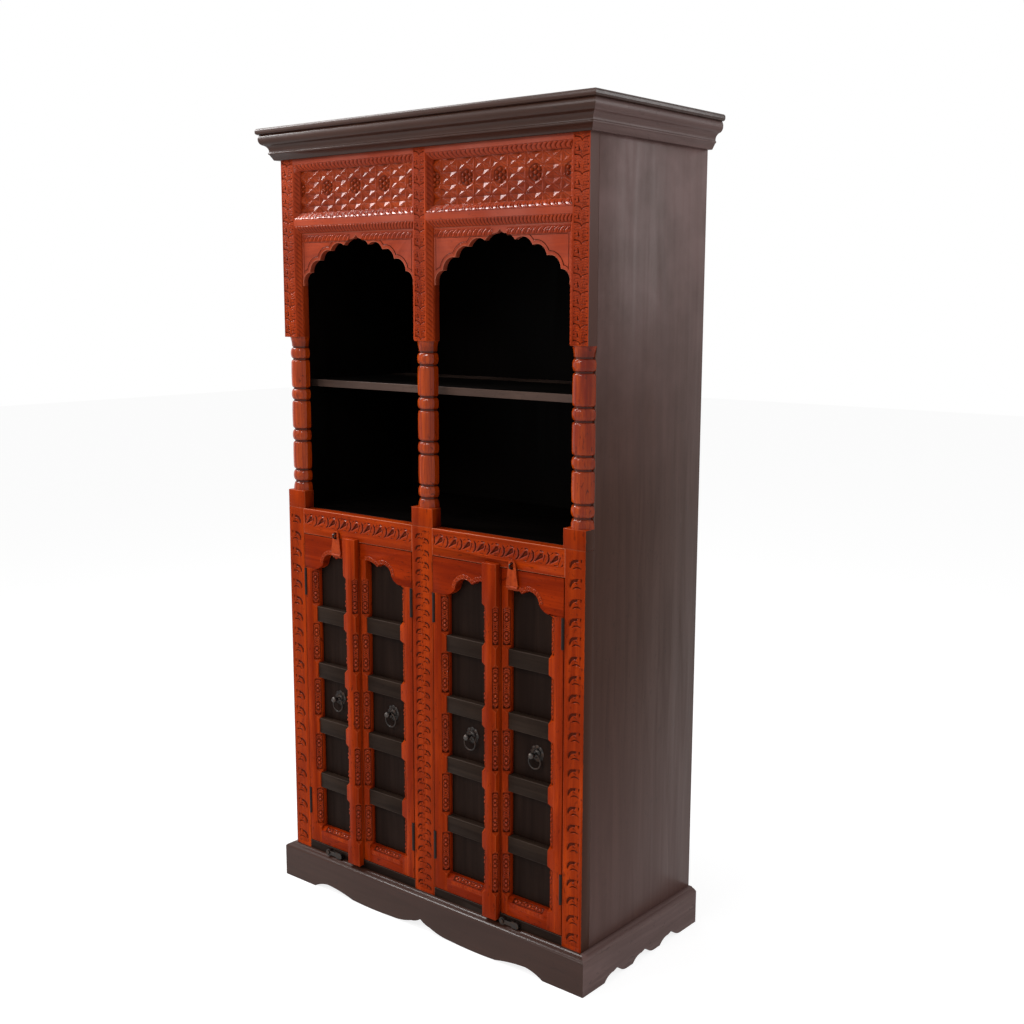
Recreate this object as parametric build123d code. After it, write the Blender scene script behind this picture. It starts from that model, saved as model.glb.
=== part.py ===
from build123d import *
import math
import os

# A tall two-bay cabinet: open shelves behind turned columns and multifoil arches above,
# two pairs of panelled doors below, on a shaped plinth and under a mitred cornice.
# Millimetres, +Z up, X along the front, -Y towards the user. The origin is on the floor,
# under the middle of the overall box.

# ---- Overall ----
CASE_WIDTH = 931.0
CASE_DEPTH = 440.5
TOTAL_HEIGHT = 1905.0
CORNICE_OVERHANG = 42.5
SIDE_THICKNESS = 20.0
BACK_THICKNESS = 12.0
BOARD_THICKNESS = 18.0
TOP_THICKNESS = 15.0
TOP_EDGE_RADIUS = 6.0

# ---- Heights of the front, from the floor up ----
PLINTH_HEIGHT = 88.5
PLINTH_LAP = 33.5
THRESHOLD_SHOW = 21.5
DOOR_OPENING_HEIGHT = 811.0
HEAD_RAIL_HEIGHT = 63.0
BASE_BLOCK_HEIGHT = 44.0
COLUMN_HEIGHT = 380.0

# ---- Heights of the front, from the cornice down ----
CORNICE_HEIGHT = 59.0
TOP_RAIL_SHOW = 28.0
LATTICE_HEIGHT = 98.0
MID_RAIL_HEIGHT = 48.0
ARCH_APEX_DROP = 7.0

# ---- Cornice profile, as (out, up) from the case's face and the moulding's foot ----
CORNICE_FLAT = 11.0
CORNICE_BEAD_LOW = (18.5, 13.0)
CORNICE_BEAD_HIGH = (19.0, 18.5)
CORNICE_COVE_TOP = (31.0, 35.5)
CORNICE_QUIRK = (34.0, 38.0)
CORNICE_OVOLO_TOP = 34.5
CORNICE_BEAD_SAG = 2.0
CORNICE_COVE_SAG = 4.0
CORNICE_OVOLO_SAG = 3.5

# ---- Posts ----
POST_WIDTH = 57.0
POST_DEPTH = 30.0
CENTRE_POST_WIDTH = 64.0
CENTRE_POST_SHIFT = -4.0
LOWER_POST_WIDTH = 54.0
OUTER_BLOCK_EXTRA = 3.0
CENTRE_BLOCK_EXTRA = 1.0
POST_CHAMFER = 13.5
CHAMFER_STOP_RISE = 4.0
CHAMFER_STOP_LENGTH = 14.0
CARVE_DEPTH = 2.5
UPPER_FIELD_MARGIN = 3.0
LOWER_FIELD_MARGIN = 9.0
FIELD_END_MARGIN = 9.0
BAND_MARGIN_X = 5.0
BAND_MARGIN_TOP = 9.0
BAND_MARGIN_BOTTOM = 19.0

# ---- Turning of the columns ----
BEAD_RADIUS = 28.0
BARREL_RADIUS = 27.0
GROOVE_RADIUS = 22.5
CAPITAL_RADIUS = 28.0
CAPITAL_NECK_RADIUS = 24.5
CAPITAL_TAPER = 23.0
BEAD_HEIGHT = 26.0
FOOT_BEAD_HEIGHT = 20.0
GROOVE_WIDTH = 3.5
BARREL_SHOULDER = 7.0
COLUMN_MEMBERS = ("capital", "bead", "barrel", "bead", "barrel", "bead", "barrel", "bead", "foot")

# ---- Boards between the posts ----
RAIL_THICKNESS = 28.0
LATTICE_THICKNESS = 12.0
LATTICE_TONGUE = 6.0
ARCH_THICKNESS = 14.0
FILLET_HEIGHT = 13.0
TOP_RAIL_PLAIN = 12.0
ARCH_LEG = 3.0
ARCH_LEG_DROP = 4.0
ARCH_CUSPS = ((0.22, 24.0), (0.47, 36.0), (0.67, 58.0), (0.865, 86.0))
ARCH_RISE = 114.0
ARCH_TIP_TURN = (0.32, 0.4)
ARCH_FOIL_SAG = 0.24
ARCH_TIP_SAG = 0.12

# ---- Shelves ----
SHELF_RISE = 319.0
LOWER_SHELF_RISE = 410.0
SHELF_SETBACK = 64.0
CLEAT_SIZE = 20.0
CLEAT_INSET = 45.0

# ---- Plinth ----
PLINTH_PROJECTION = 21.5
PLINTH_BEVEL = 9.5
PLINTH_BEAD = 2.5
FRONT_FOOT = 112.0
FRONT_CURVE = (
    ((0.0, 27.0), (0.035, 19.5)),
    ((0.08, 15.0), (0.16, 6.5)),
    ((0.26, 3.0), (0.43, 0.8)),
    ((0.63, 3.0), (0.76, 12.5)),
    ((0.87, 16.0), (0.935, 11.0)),
)
SIDE_FOOT = 82.5
REAR_FOOT = 70.5
SIDE_TIPS = 3
SIDE_TIP_LEAD = 51.0
SIDE_TIP_HEIGHT = 19.0
SIDE_LOBE_FALL = 35.0
SIDE_LOBE_FLAT = 25.0
SIDE_LOBE_FLOOR = 1.0
SIDE_SHOULDER = (16.0, 14.5)
SIDE_LOBE_SAG = 4.5

# ---- Doors ----
PASSIVE_LEAF_WIDTH = 176.0
DOOR_THICKNESS = 30.0
DOOR_PROUD = 0.4
DOOR_SIDE_GAP = 2.5
DOOR_END_GAP = 2.0
MEETING_GAP = 3.5
HINGE_STILE_WIDTH = 39.0
PASSIVE_STILE_WIDTH = 18.0
BATTEN_WIDTH = 41.0
BATTEN_PROUD = 16.0
BATTEN_OVER_TOP = 9.5
BATTEN_OVER_BOTTOM = 16.0
DOOR_BOTTOM_RAIL = 43.0
DOOR_SHOULDER_DROP = 84.5
DOOR_MEETING_DROP = 39.0
CREST_OGEE = (0.24, 0.4)
CREST_CROWN = (0.48, 0.95)
CREST_TIP = (0.65, 0.76)
CREST_SAGS = (-0.12, 0.2, 0.1, 0.1)
TOP_PANEL_HEIGHT = 96.0
CROSS_RAIL_HEIGHT = 38.5
CROSS_RAILS = 4
CROSS_RAIL_RECESS = 2.5
PANEL_RECESS = 21.0
PANEL_THICKNESS = 7.0
PANEL_TONGUE = 8.0
PANEL_PLAY = 0.5
GROOVE_PLAY = 0.1
DOOR_CHAMFER_WIDTH = 15.0
DOOR_CHAMFER_DEPTH = 11.0
BATTEN_CHAMFER = 11.0
RAIL_CHAMFER = 10.0
CHAMFER_INSET = 6.0

# ---- Hinges ----
HINGE_HEIGHT = 69.0
HINGE_END_MARGIN = 73.0
HINGE_TOP_MARGIN = 1.5
KNUCKLE_RADIUS = 3.5
KNUCKLE_GAP = 0.3
KNUCKLE_CLEARANCE = 0.3
HINGE_PIN_RADIUS = 1.5
PIN_FIT = 0.08
LEAF_THICKNESS = 1.15
LEAF_DEPTH = 22.0
AXIS_INSET = 1.5
NOTCH_CLEARANCE = 0.8

# ---- Ring pulls ----
PULL_RISE = 7.0
PLATE_RADIUS = 20.0
PLATE_THICKNESS = 2.5
DOME_RADIUS = 12.0
DOME_HEIGHT = 5.5
NECK_RADIUS = 3.6
EYE_RADIUS = 5.2
EYE_LENGTH = 6.0
EYE_HEIGHT = 9.0
EYE_HOLE_RADIUS = 2.7
BALL_RADIUS = 7.5
BALL_HEIGHT = 20.5
RING_RADIUS = 16.5
RING_WIRE_RADIUS = 1.9

# ---- Hasps and staples ----
LEFT_HASP_GAP = 18.0
RIGHT_HASP_GAP = 16.0
HASP_FOOT_DROP = 38.0
HASP_REACH = 48.0
HASP_FOOT_WIDTH = 34.0
HASP_END_WIDTH = 20.0
HASP_THICKNESS = 3.0
HASP_KNUCKLE_RADIUS = 3.0
HASP_KNUCKLE_LENGTH = 14.0
HASP_SIDE_KNUCKLE = 8.0
HASP_PIN_RADIUS = 1.3
HASP_STAND_OFF = 4.0
HASP_PLATE_THICKNESS = 1.0
HASP_PLATE_DROP = 7.0
STAPLE_WIRE = 3.0
STAPLE_SPAN = 13.0
STAPLE_REACH = 15.0
STAPLE_DEPTH = 12.0
STAPLE_PLAY_X = 2.5
STAPLE_PLAY_Z = 2.2

# ---- Turn buttons ----
BUTTON_HEAD_RADIUS = 9.0
BUTTON_ARM = 48.0
BUTTON_ARM_RADIUS = 8.0
BUTTON_WAIST = 5.0
BUTTON_THICKNESS = 9.0
BUTTON_STAND_OFF = 0.9
BUTTON_PIN_RADIUS = 3.0
BUTTON_PIN_LENGTH = 12.0
BUTTON_PIN_HEAD_RADIUS = 5.5
BUTTON_PIN_HEAD = 3.0
BUTTON_HEAD_GAP = 0.3
LEFT_BUTTON_GAP = 32.0
RIGHT_BUTTON_INSET = 12.0

# ---- Derived planes ----
SIDE = CASE_WIDTH / 2
FRONT = (CORNICE_OVERHANG - CASE_DEPTH) / 2
BACK = FRONT + CASE_DEPTH
INNER_SIDE = SIDE - SIDE_THICKNESS
INNER_BACK = BACK - BACK_THICKNESS
CASE_BOTTOM = PLINTH_HEIGHT - PLINTH_LAP
CASE_TOP = TOTAL_HEIGHT - TOP_THICKNESS
CORNICE_BOTTOM = CASE_TOP - CORNICE_HEIGHT
THRESHOLD_TOP = PLINTH_HEIGHT + THRESHOLD_SHOW
HEAD_RAIL_BOTTOM = THRESHOLD_TOP + DOOR_OPENING_HEIGHT
DECK_TOP = HEAD_RAIL_BOTTOM + HEAD_RAIL_HEIGHT
COLUMN_BOTTOM = DECK_TOP + BASE_BLOCK_HEIGHT
COLUMN_TOP = COLUMN_BOTTOM + COLUMN_HEIGHT
LATTICE_TOP = CORNICE_BOTTOM - TOP_RAIL_SHOW
LATTICE_BOTTOM = LATTICE_TOP - LATTICE_HEIGHT
MID_RAIL_BOTTOM = LATTICE_BOTTOM - MID_RAIL_HEIGHT
ARCH_APEX = MID_RAIL_BOTTOM - ARCH_APEX_DROP
SHELF_TOP = DECK_TOP + SHELF_RISE
LOWER_SHELF_TOP = THRESHOLD_TOP + LOWER_SHELF_RISE
DOOR_FRONT = FRONT - DOOR_PROUD
DOOR_BACK = DOOR_FRONT + DOOR_THICKNESS
DOOR_BOTTOM = THRESHOLD_TOP + DOOR_END_GAP
DOOR_TOP = HEAD_RAIL_BOTTOM - DOOR_END_GAP
DOOR_SHOULDER = DOOR_TOP - DOOR_SHOULDER_DROP
DOOR_MEETING_SHOULDER = DOOR_TOP - DOOR_MEETING_DROP
BOTTOM_RAIL_TOP = DOOR_BOTTOM + DOOR_BOTTOM_RAIL
CROSS_ZONE = DOOR_SHOULDER - TOP_PANEL_HEIGHT - BOTTOM_RAIL_TOP
LOW_PANEL_HEIGHT = (CROSS_ZONE - CROSS_RAILS * CROSS_RAIL_HEIGHT) / CROSS_RAILS
CENTRE_POST = (CENTRE_POST_SHIFT - CENTRE_POST_WIDTH / 2, CENTRE_POST_SHIFT + CENTRE_POST_WIDTH / 2)
UPPER_POSTS = {
    "left": (-SIDE, -SIDE + POST_WIDTH),
    "centre": CENTRE_POST,
    "right": (SIDE - POST_WIDTH, SIDE),
}
LOWER_POSTS = {
    "left": (-SIDE, -SIDE + LOWER_POST_WIDTH),
    "centre": CENTRE_POST,
    "right": (SIDE - LOWER_POST_WIDTH, SIDE),
}
CHAMFERED_SIDES = {"left": (1,), "centre": (-1, 1), "right": (-1,)}
UPPER_BAYS = (
    (UPPER_POSTS["left"][1], CENTRE_POST[0]),
    (CENTRE_POST[1], UPPER_POSTS["right"][0]),
)
LOWER_BAYS = (
    (LOWER_POSTS["left"][1], CENTRE_POST[0]),
    (CENTRE_POST[1], LOWER_POSTS["right"][0]),
)


# ---- Drawing helpers ----
def span_box(x, y, z):
    """Return the box between three (low, high) pairs."""
    centre = Pos((x[0] + x[1]) / 2, (y[0] + y[1]) / 2, (z[0] + z[1]) / 2)
    return centre * Box(x[1] - x[0], y[1] - y[0], z[1] - z[0])


def polygon(*points):
    """Return the face inside straight edges."""
    return make_face(Polyline(*points, close=True))


def front_prism(face, y):
    """Extrude a face drawn in X and Z through the depth pair y."""
    return extrude(Plane.XZ.offset(-y[1]) * face, amount=y[1] - y[0])


def run_prism(face, x):
    """Extrude a face drawn in Y and Z along the length pair x."""
    return extrude(Plane.YZ.offset(x[0]) * face, amount=x[1] - x[0])


def plan_prism(face, z):
    """Extrude a face drawn in X and Y up the height pair z."""
    return extrude(Plane.XY.offset(z[0]) * face, amount=z[1] - z[0])


def arc(start, end, sag):
    """Return an arc from start to end, bulging by sag to the left of its direction."""
    run = end[0] - start[0]
    rise = end[1] - start[1]
    chord = math.hypot(run, rise)
    middle = ((start[0] + end[0]) / 2 - rise / chord * sag, (start[1] + end[1]) / 2 + run / chord * sag)
    return ThreePointArc(start, middle, end)


def path_lines(*points):
    """Return the straight edges through the points in order."""
    return [Line(a, b) for a, b in zip(points, points[1:])]


def rod_x(centre, radius, length):
    """Return a cylinder lying along X."""
    return Pos(*centre) * Rot(0, 90, 0) * Cylinder(radius, length)


def rod_z(centre, radius, z):
    """Return an upright cylinder at (x, y) between the height pair z."""
    return Pos(centre[0], centre[1], (z[0] + z[1]) / 2) * Cylinder(radius, z[1] - z[0])


def edge_chamfer(x, side, y, width, depth, z):
    """Return the wedge that takes a corner off: the corner is at x, y, and stock lies on side."""
    section = polygon((x, y), (x + side * width, y), (x, y + depth))
    return plan_prism(section, z)


# ---- Front posts ----
def barrel_height():
    """Return the height left for each barrel of the turning."""
    fixed = CAPITAL_TAPER + FOOT_BEAD_HEIGHT
    fixed += COLUMN_MEMBERS.count("bead") * BEAD_HEIGHT
    fixed += (len(COLUMN_MEMBERS) - 1) * GROOVE_WIDTH
    return (COLUMN_HEIGHT - fixed) / COLUMN_MEMBERS.count("barrel")


def shoulder(z, drop, radius):
    """Return the rounded shoulder between the groove at z and a barrel's side."""
    swell = radius - GROOVE_RADIUS
    middle = (GROOVE_RADIUS + swell * math.sin(math.pi / 4), z + drop * (1 - math.cos(math.pi / 4)))
    ends = [(GROOVE_RADIUS, z), (radius, z + drop)]
    return ThreePointArc(ends[0], middle, ends[1])


def member_edges(kind, top):
    """Return one turned member's outline edges and the height where it ends."""
    if kind == "capital":
        low = top - CAPITAL_TAPER
        sweep = arc((CAPITAL_RADIUS, top), (CAPITAL_NECK_RADIUS, low), GROOVE_WIDTH / 2)
        return [sweep, Line((CAPITAL_NECK_RADIUS, low), (GROOVE_RADIUS, low))], low
    if kind == "bead":
        low = top - BEAD_HEIGHT
        return [ThreePointArc((GROOVE_RADIUS, top), (BEAD_RADIUS, (top + low) / 2), (GROOVE_RADIUS, low))], low
    if kind == "foot":
        low = top - FOOT_BEAD_HEIGHT
        return [arc((GROOVE_RADIUS, top), (BEAD_RADIUS, low), GROOVE_WIDTH)], low
    low = top - barrel_height()
    side = Line((BARREL_RADIUS, top - BARREL_SHOULDER), (BARREL_RADIUS, low + BARREL_SHOULDER))
    return [shoulder(top, -BARREL_SHOULDER, BARREL_RADIUS), side, shoulder(low, BARREL_SHOULDER, BARREL_RADIUS)], low


def turned_column():
    """Return the turned length of a post, split down the Z axis with its flat back towards +Y."""
    z = COLUMN_TOP
    edges = [Line((0, z), (CAPITAL_RADIUS, z))]
    for index, kind in enumerate(COLUMN_MEMBERS):
        if index:
            edges.append(Line((GROOVE_RADIUS, z), (GROOVE_RADIUS, z - GROOVE_WIDTH)))
            z -= GROOVE_WIDTH
        outline, z = member_edges(kind, z)
        edges += outline
    edges += path_lines((BEAD_RADIUS, z), (0, z), (0, COLUMN_TOP))
    return Rot(0, 0, 180) * revolve(Plane.XZ * make_face(edges), Axis.Z, 180)


def post_chamfer(x, side):
    """Return the wedge for a post's long chamfer with its run-out at the foot."""
    low = COLUMN_TOP + CHAMFER_STOP_RISE
    full = low + CHAMFER_STOP_LENGTH
    wedge = edge_chamfer(x, side, FRONT, POST_CHAMFER, POST_CHAMFER, (full, CASE_TOP))
    tip = CARVE_DEPTH / POST_CHAMFER
    sections = [
        Plane.XY.offset(height) * polygon((x, FRONT), (x + side * reach, FRONT), (x, FRONT + reach))
        for height, reach in ((low, POST_CHAMFER * tip), (full, POST_CHAMFER))
    ]
    return wedge + loft(sections)


def face_span(name):
    """Return the flat carved width of an upper post's head."""
    low, high = UPPER_POSTS[name]
    if -1 in CHAMFERED_SIDES[name]:
        low += POST_CHAMFER
    if 1 in CHAMFERED_SIDES[name]:
        high -= POST_CHAMFER
    return low, high


def block_span(name):
    """Return the width pair of the base block under a column."""
    low, high = UPPER_POSTS[name]
    extra = CENTRE_BLOCK_EXTRA if name == "centre" else OUTER_BLOCK_EXTRA
    if -1 in CHAMFERED_SIDES[name]:
        low -= extra
    if 1 in CHAMFERED_SIDES[name]:
        high += extra
    return low, high


def upper_post(name):
    """Return a post's base block, half-round turned column and carved head in one stick."""
    x = UPPER_POSTS[name]
    y = (FRONT, FRONT + POST_DEPTH)
    head = span_box(x, y, (COLUMN_TOP, CASE_TOP))
    if 1 in CHAMFERED_SIDES[name]:
        head -= post_chamfer(x[1], -1)
    if -1 in CHAMFERED_SIDES[name]:
        head -= post_chamfer(x[0], 1)
    face = face_span(name)
    field_x = (face[0] + UPPER_FIELD_MARGIN, face[1] - UPPER_FIELD_MARGIN)
    field_z = (COLUMN_TOP + UPPER_FIELD_MARGIN, CORNICE_BOTTOM - UPPER_FIELD_MARGIN)
    head -= span_box(field_x, (FRONT, FRONT + CARVE_DEPTH), field_z)
    column = Pos((x[0] + x[1]) / 2, FRONT + POST_DEPTH) * turned_column()
    block = span_box(block_span(name), y, (DECK_TOP, COLUMN_BOTTOM))
    return head + column + block


def lower_post(name):
    """Return a door post with its sunk carved field."""
    x = LOWER_POSTS[name]
    post = span_box(x, (FRONT, FRONT + POST_DEPTH), (CASE_BOTTOM, DECK_TOP))
    field_x = (x[0] + LOWER_FIELD_MARGIN, x[1] - LOWER_FIELD_MARGIN)
    field_z = (PLINTH_HEIGHT + FIELD_END_MARGIN, DECK_TOP - FIELD_END_MARGIN)
    return post - span_box(field_x, (FRONT, FRONT + CARVE_DEPTH), field_z)


# ---- Boards between the upper posts ----
def lattice_panel(bay):
    """Return the board that carries the star lattice, tongued into the rails."""
    y = (FRONT + POST_CHAMFER, FRONT + POST_CHAMFER + LATTICE_THICKNESS)
    return span_box(bay, y, (LATTICE_BOTTOM - LATTICE_TONGUE, LATTICE_TOP + LATTICE_TONGUE))


def frieze_rail(bay, section):
    """Return a moulded rail, scribed to the chamfers of the posts at both ends."""
    rail = run_prism(section, (bay[0] - POST_CHAMFER, bay[1] + POST_CHAMFER))
    for name in UPPER_POSTS:
        rail -= upper_post(name)
    y = (FRONT + POST_CHAMFER - GROOVE_PLAY, FRONT + POST_CHAMFER + LATTICE_THICKNESS + GROOVE_PLAY)
    z = (LATTICE_BOTTOM - LATTICE_TONGUE - PANEL_PLAY, LATTICE_TOP + LATTICE_TONGUE + PANEL_PLAY)
    return rail - span_box(bay, y, z)


def top_rail_section():
    """Return the top rail's section: plain face over a sloping moulding."""
    face = FRONT
    sunk = FRONT + POST_CHAMFER
    back = FRONT + RAIL_THICKNESS
    slope_top = CORNICE_BOTTOM - TOP_RAIL_PLAIN
    return polygon((face, CASE_TOP), (face, slope_top), (sunk, LATTICE_TOP), (back, LATTICE_TOP), (back, CASE_TOP))


def mid_rail_section():
    """Return the middle rail's section: a fillet between two sloping mouldings."""
    face = FRONT
    sunk = FRONT + POST_CHAMFER
    back = FRONT + RAIL_THICKNESS
    middle = (LATTICE_BOTTOM + MID_RAIL_BOTTOM) / 2
    return polygon(
        (back, LATTICE_BOTTOM),
        (sunk, LATTICE_BOTTOM),
        (face, middle + FILLET_HEIGHT / 2),
        (face, middle - FILLET_HEIGHT / 2),
        (sunk, MID_RAIL_BOTTOM),
        (back, MID_RAIL_BOTTOM),
    )


def arch_edges(half):
    """Return the arch's foils from the left springing to the right one, about X = 0."""
    spring = (half - ARCH_LEG, ARCH_APEX - ARCH_RISE)
    cusps = [(share * half, ARCH_APEX - drop) for share, drop in ARCH_CUSPS] + [spring]
    apex = (0.0, ARCH_APEX)
    first = cusps[0]
    turn = (first[0] * ARCH_TIP_TURN[0], ARCH_APEX - (ARCH_APEX - first[1]) * ARCH_TIP_TURN[1])
    right = [arc(apex, turn, -math.dist(apex, turn) * ARCH_TIP_SAG)]
    right.append(arc(turn, first, math.dist(turn, first) * ARCH_TIP_SAG))
    right += [arc(a, b, math.dist(a, b) * ARCH_FOIL_SAG) for a, b in zip(cusps, cusps[1:])]
    left = [edge.mirror(Plane.YZ) for edge in right]
    return left + right, spring


def arch_board(bay):
    """Return a board with its multifoil arch cut out."""
    half = (bay[1] - bay[0]) / 2
    foils, spring = arch_edges(half)
    foot = spring[1] - ARCH_LEG_DROP
    outside = path_lines(
        spring, (spring[0], foot), (half, foot), (half, MID_RAIL_BOTTOM),
        (-half, MID_RAIL_BOTTOM), (-half, foot), (-spring[0], foot), (-spring[0], spring[1]),
    )
    y = (FRONT + POST_CHAMFER, FRONT + POST_CHAMFER + ARCH_THICKNESS)
    return Pos((bay[0] + bay[1]) / 2) * front_prism(make_face(foils + outside), y)


# ---- Rails of the door frame ----
def staple(x):
    """Return the staple at x, which also cuts its own seat in the head rail."""
    z = staple_height()
    high = (z - STAPLE_SPAN / 2, z + STAPLE_SPAN / 2)
    outer = span_box(
        (x - STAPLE_WIRE / 2, x + STAPLE_WIRE / 2), (FRONT - STAPLE_REACH, FRONT + STAPLE_DEPTH), high
    )
    nose = outer.edges().filter_by(Axis.X).group_by(Axis.Y)[0]
    outer = fillet(nose, STAPLE_SPAN / 2 - STAPLE_WIRE / 2)
    inner = span_box(
        (x - STAPLE_WIRE, x + STAPLE_WIRE),
        (FRONT - STAPLE_REACH + STAPLE_WIRE, FRONT + STAPLE_DEPTH),
        (high[0] + STAPLE_WIRE, high[1] - STAPLE_WIRE),
    )
    return outer - inner


def staple_height():
    """Return the height of the staples' middle."""
    return DOOR_TOP - HASP_FOOT_DROP + HASP_REACH


def head_rail(bay, staple_x):
    """Return a carved rail over a pair of doors, cut for its staple."""
    rail = span_box(bay, (FRONT, FRONT + RAIL_THICKNESS), (HEAD_RAIL_BOTTOM, DECK_TOP))
    band_x = (bay[0] + BAND_MARGIN_X, bay[1] - BAND_MARGIN_X)
    band_z = (HEAD_RAIL_BOTTOM + BAND_MARGIN_BOTTOM, DECK_TOP - BAND_MARGIN_TOP)
    rail -= span_box(band_x, (FRONT, FRONT + CARVE_DEPTH), band_z)
    return rail - staple(staple_x)


def threshold_rail(bay, button_x):
    """Return the rail under a pair of doors, bored for its turn button."""
    rail = span_box(bay, (FRONT, FRONT + RAIL_THICKNESS), (CASE_BOTTOM, THRESHOLD_TOP))
    return rail - rod_y((button_x, FRONT, button_height()), BUTTON_PIN_RADIUS, BUTTON_PIN_LENGTH)


# ---- Case ----
def side_panel(side):
    """Return a side board behind the corner posts."""
    x = sorted((side * INNER_SIDE, side * SIDE))
    return span_box(x, (FRONT + POST_DEPTH, BACK), (CASE_BOTTOM, CASE_TOP))


def cupboard_board(z):
    """Return a full-depth board notched round the door posts and rails."""
    board = span_box((-INNER_SIDE, INNER_SIDE), (FRONT + RAIL_THICKNESS, INNER_BACK), z)
    for span in LOWER_POSTS.values():
        board -= span_box(span, (FRONT, FRONT + POST_DEPTH), z)
    return board


def shelf(top):
    """Return a loose shelf behind the posts."""
    return span_box((-INNER_SIDE, INNER_SIDE), (FRONT + SHELF_SETBACK, INNER_BACK), (top - BOARD_THICKNESS, top))


def shelf_cleats():
    """Return the bearers on the side boards under every horizontal board."""
    cleats = []
    for top in (SHELF_TOP, LOWER_SHELF_TOP, DECK_TOP, THRESHOLD_TOP):
        under = top - BOARD_THICKNESS
        for side in (-1, 1):
            x = sorted((side * INNER_SIDE, side * (INNER_SIDE - CLEAT_SIZE)))
            y = (FRONT + SHELF_SETBACK + CLEAT_INSET, INNER_BACK - CLEAT_INSET)
            cleats.append(span_box(x, y, (under - CLEAT_SIZE, under)))
    return cleats


def top_board():
    """Return the cap board, rounded on its front and side edges."""
    reach = SIDE + CORNICE_OVERHANG
    board = span_box((-reach, reach), (FRONT - CORNICE_OVERHANG, BACK), (CASE_TOP, TOTAL_HEIGHT))
    rim = board.edges().filter_by(Axis.X).group_by(Axis.Y)[0]
    rim += board.edges().filter_by(Axis.Y)
    return fillet(rim, TOP_EDGE_RADIUS)


def mitred(section, reach):
    """Return a moulding's front run and two side runs, mitred at the front corners.

    The section is drawn with its first coordinate as the distance out from the case.
    """
    far = SIDE + reach
    front_plan = polygon((-SIDE, FRONT), (SIDE, FRONT), (far, FRONT - reach), (-far, FRONT - reach))
    tall = (0, TOTAL_HEIGHT)
    front = run_prism(mirror(section, about=Plane.YZ).moved(Pos(FRONT)), (-far, far)) & plan_prism(front_plan, tall)
    side_plan = polygon((SIDE, FRONT), (SIDE, BACK), (far, BACK), (far, FRONT - reach))
    right = front_prism(section.moved(Pos(SIDE)), (FRONT - reach, BACK)) & plan_prism(side_plan, tall)
    return front, right, mirror(right, about=Plane.YZ)


def cornice_section():
    """Return the cornice's section: chamfer, bead, cove, quirk and ovolo."""
    base = CORNICE_BOTTOM
    bead_low, bead_high, cove_top, quirk = (
        (out, base + up) for out, up in (CORNICE_BEAD_LOW, CORNICE_BEAD_HIGH, CORNICE_COVE_TOP, CORNICE_QUIRK)
    )
    lip = (CORNICE_OVOLO_TOP, CASE_TOP)
    edges = path_lines((0, CASE_TOP), (0, base), (CORNICE_FLAT, base), bead_low)
    edges.append(arc(bead_low, bead_high, -CORNICE_BEAD_SAG))
    edges.append(arc(bead_high, cove_top, CORNICE_COVE_SAG))
    edges.append(Line(cove_top, quirk))
    edges.append(arc(quirk, lip, -CORNICE_OVOLO_SAG))
    edges.append(Line(lip, (0, CASE_TOP)))
    return make_face(edges)


def plinth_section():
    """Return the plinth's section: flat face, sloping shoulder and a small bead."""
    shoulder_low = (PLINTH_PROJECTION, PLINTH_HEIGHT - PLINTH_BEVEL)
    shoulder_high = (PLINTH_PROJECTION / 2, PLINTH_HEIGHT - PLINTH_BEAD)
    edges = path_lines((0, PLINTH_HEIGHT), (0, 0), (PLINTH_PROJECTION, 0), shoulder_low)
    edges.append(arc(shoulder_low, shoulder_high, -PLINTH_BEAD / 2))
    edges += path_lines(shoulder_high, (shoulder_high[0] - PLINTH_BEAD, PLINTH_HEIGHT), (0, PLINTH_HEIGHT))
    return make_face(edges)


def front_plinth_cut():
    """Return the waste under the front plinth board, between its feet."""
    half = SIDE + PLINTH_PROJECTION - FRONT_FOOT
    points = [((share * half, height), (mid * half, mid_height)) for (share, height), (mid, mid_height) in FRONT_CURVE]
    ends = [start for start, _ in points[1:]] + [(half, 0.0)]
    right = [ThreePointArc(start, middle, end) for (start, middle), end in zip(points, ends)]
    left = [edge.mirror(Plane.YZ) for edge in right]
    outline = make_face(right + left + [Line((half, 0), (-half, 0))])
    return front_prism(outline, (FRONT - CORNICE_OVERHANG, FRONT))


def side_plinth_cut():
    """Return the waste under a side plinth board: a row of pointed lobes."""
    start = FRONT - PLINTH_PROJECTION + SIDE_FOOT
    end = BACK - REAR_FOOT
    first = start + SIDE_TIP_LEAD
    pitch = (end - SIDE_LOBE_FALL - first) / (SIDE_TIPS - 1)
    edges = []
    low = (start, 0.0)
    for index in range(SIDE_TIPS):
        tip = (first + index * pitch, SIDE_TIP_HEIGHT)
        rest = tip[0] + SIDE_LOBE_FALL
        last = index == SIDE_TIPS - 1
        floor = 0.0 if last else SIDE_LOBE_FLOOR
        rise = (tip[0] - SIDE_SHOULDER[0], SIDE_SHOULDER[1])
        edges.append(arc(low, rise, SIDE_LOBE_SAG))
        edges.append(Line(rise, tip))
        edges.append(arc(tip, (rest, floor), -SIDE_LOBE_SAG))
        low = (rest + SIDE_LOBE_FLAT, floor)
        if not last:
            edges.append(Line((rest, floor), low))
    edges.append(Line((end, 0.0), (start, 0.0)))
    return run_prism(make_face(edges), (SIDE - PLINTH_PROJECTION, SIDE + CORNICE_OVERHANG))


def plinth():
    """Return the front plinth board and the two side boards."""
    front, right, left = mitred(plinth_section(), PLINTH_PROJECTION)
    cut = side_plinth_cut()
    return front - front_plinth_cut(), right - cut, left - mirror(cut, about=Plane.YZ)


# ---- Ironwork ----
def rod_y(face_centre, radius, length):
    """Return a cylinder running back along Y from its front face."""
    x, y, z = face_centre
    return Pos(x, y + length / 2, z) * Rot(90, 0, 0) * Cylinder(radius, length)


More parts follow.
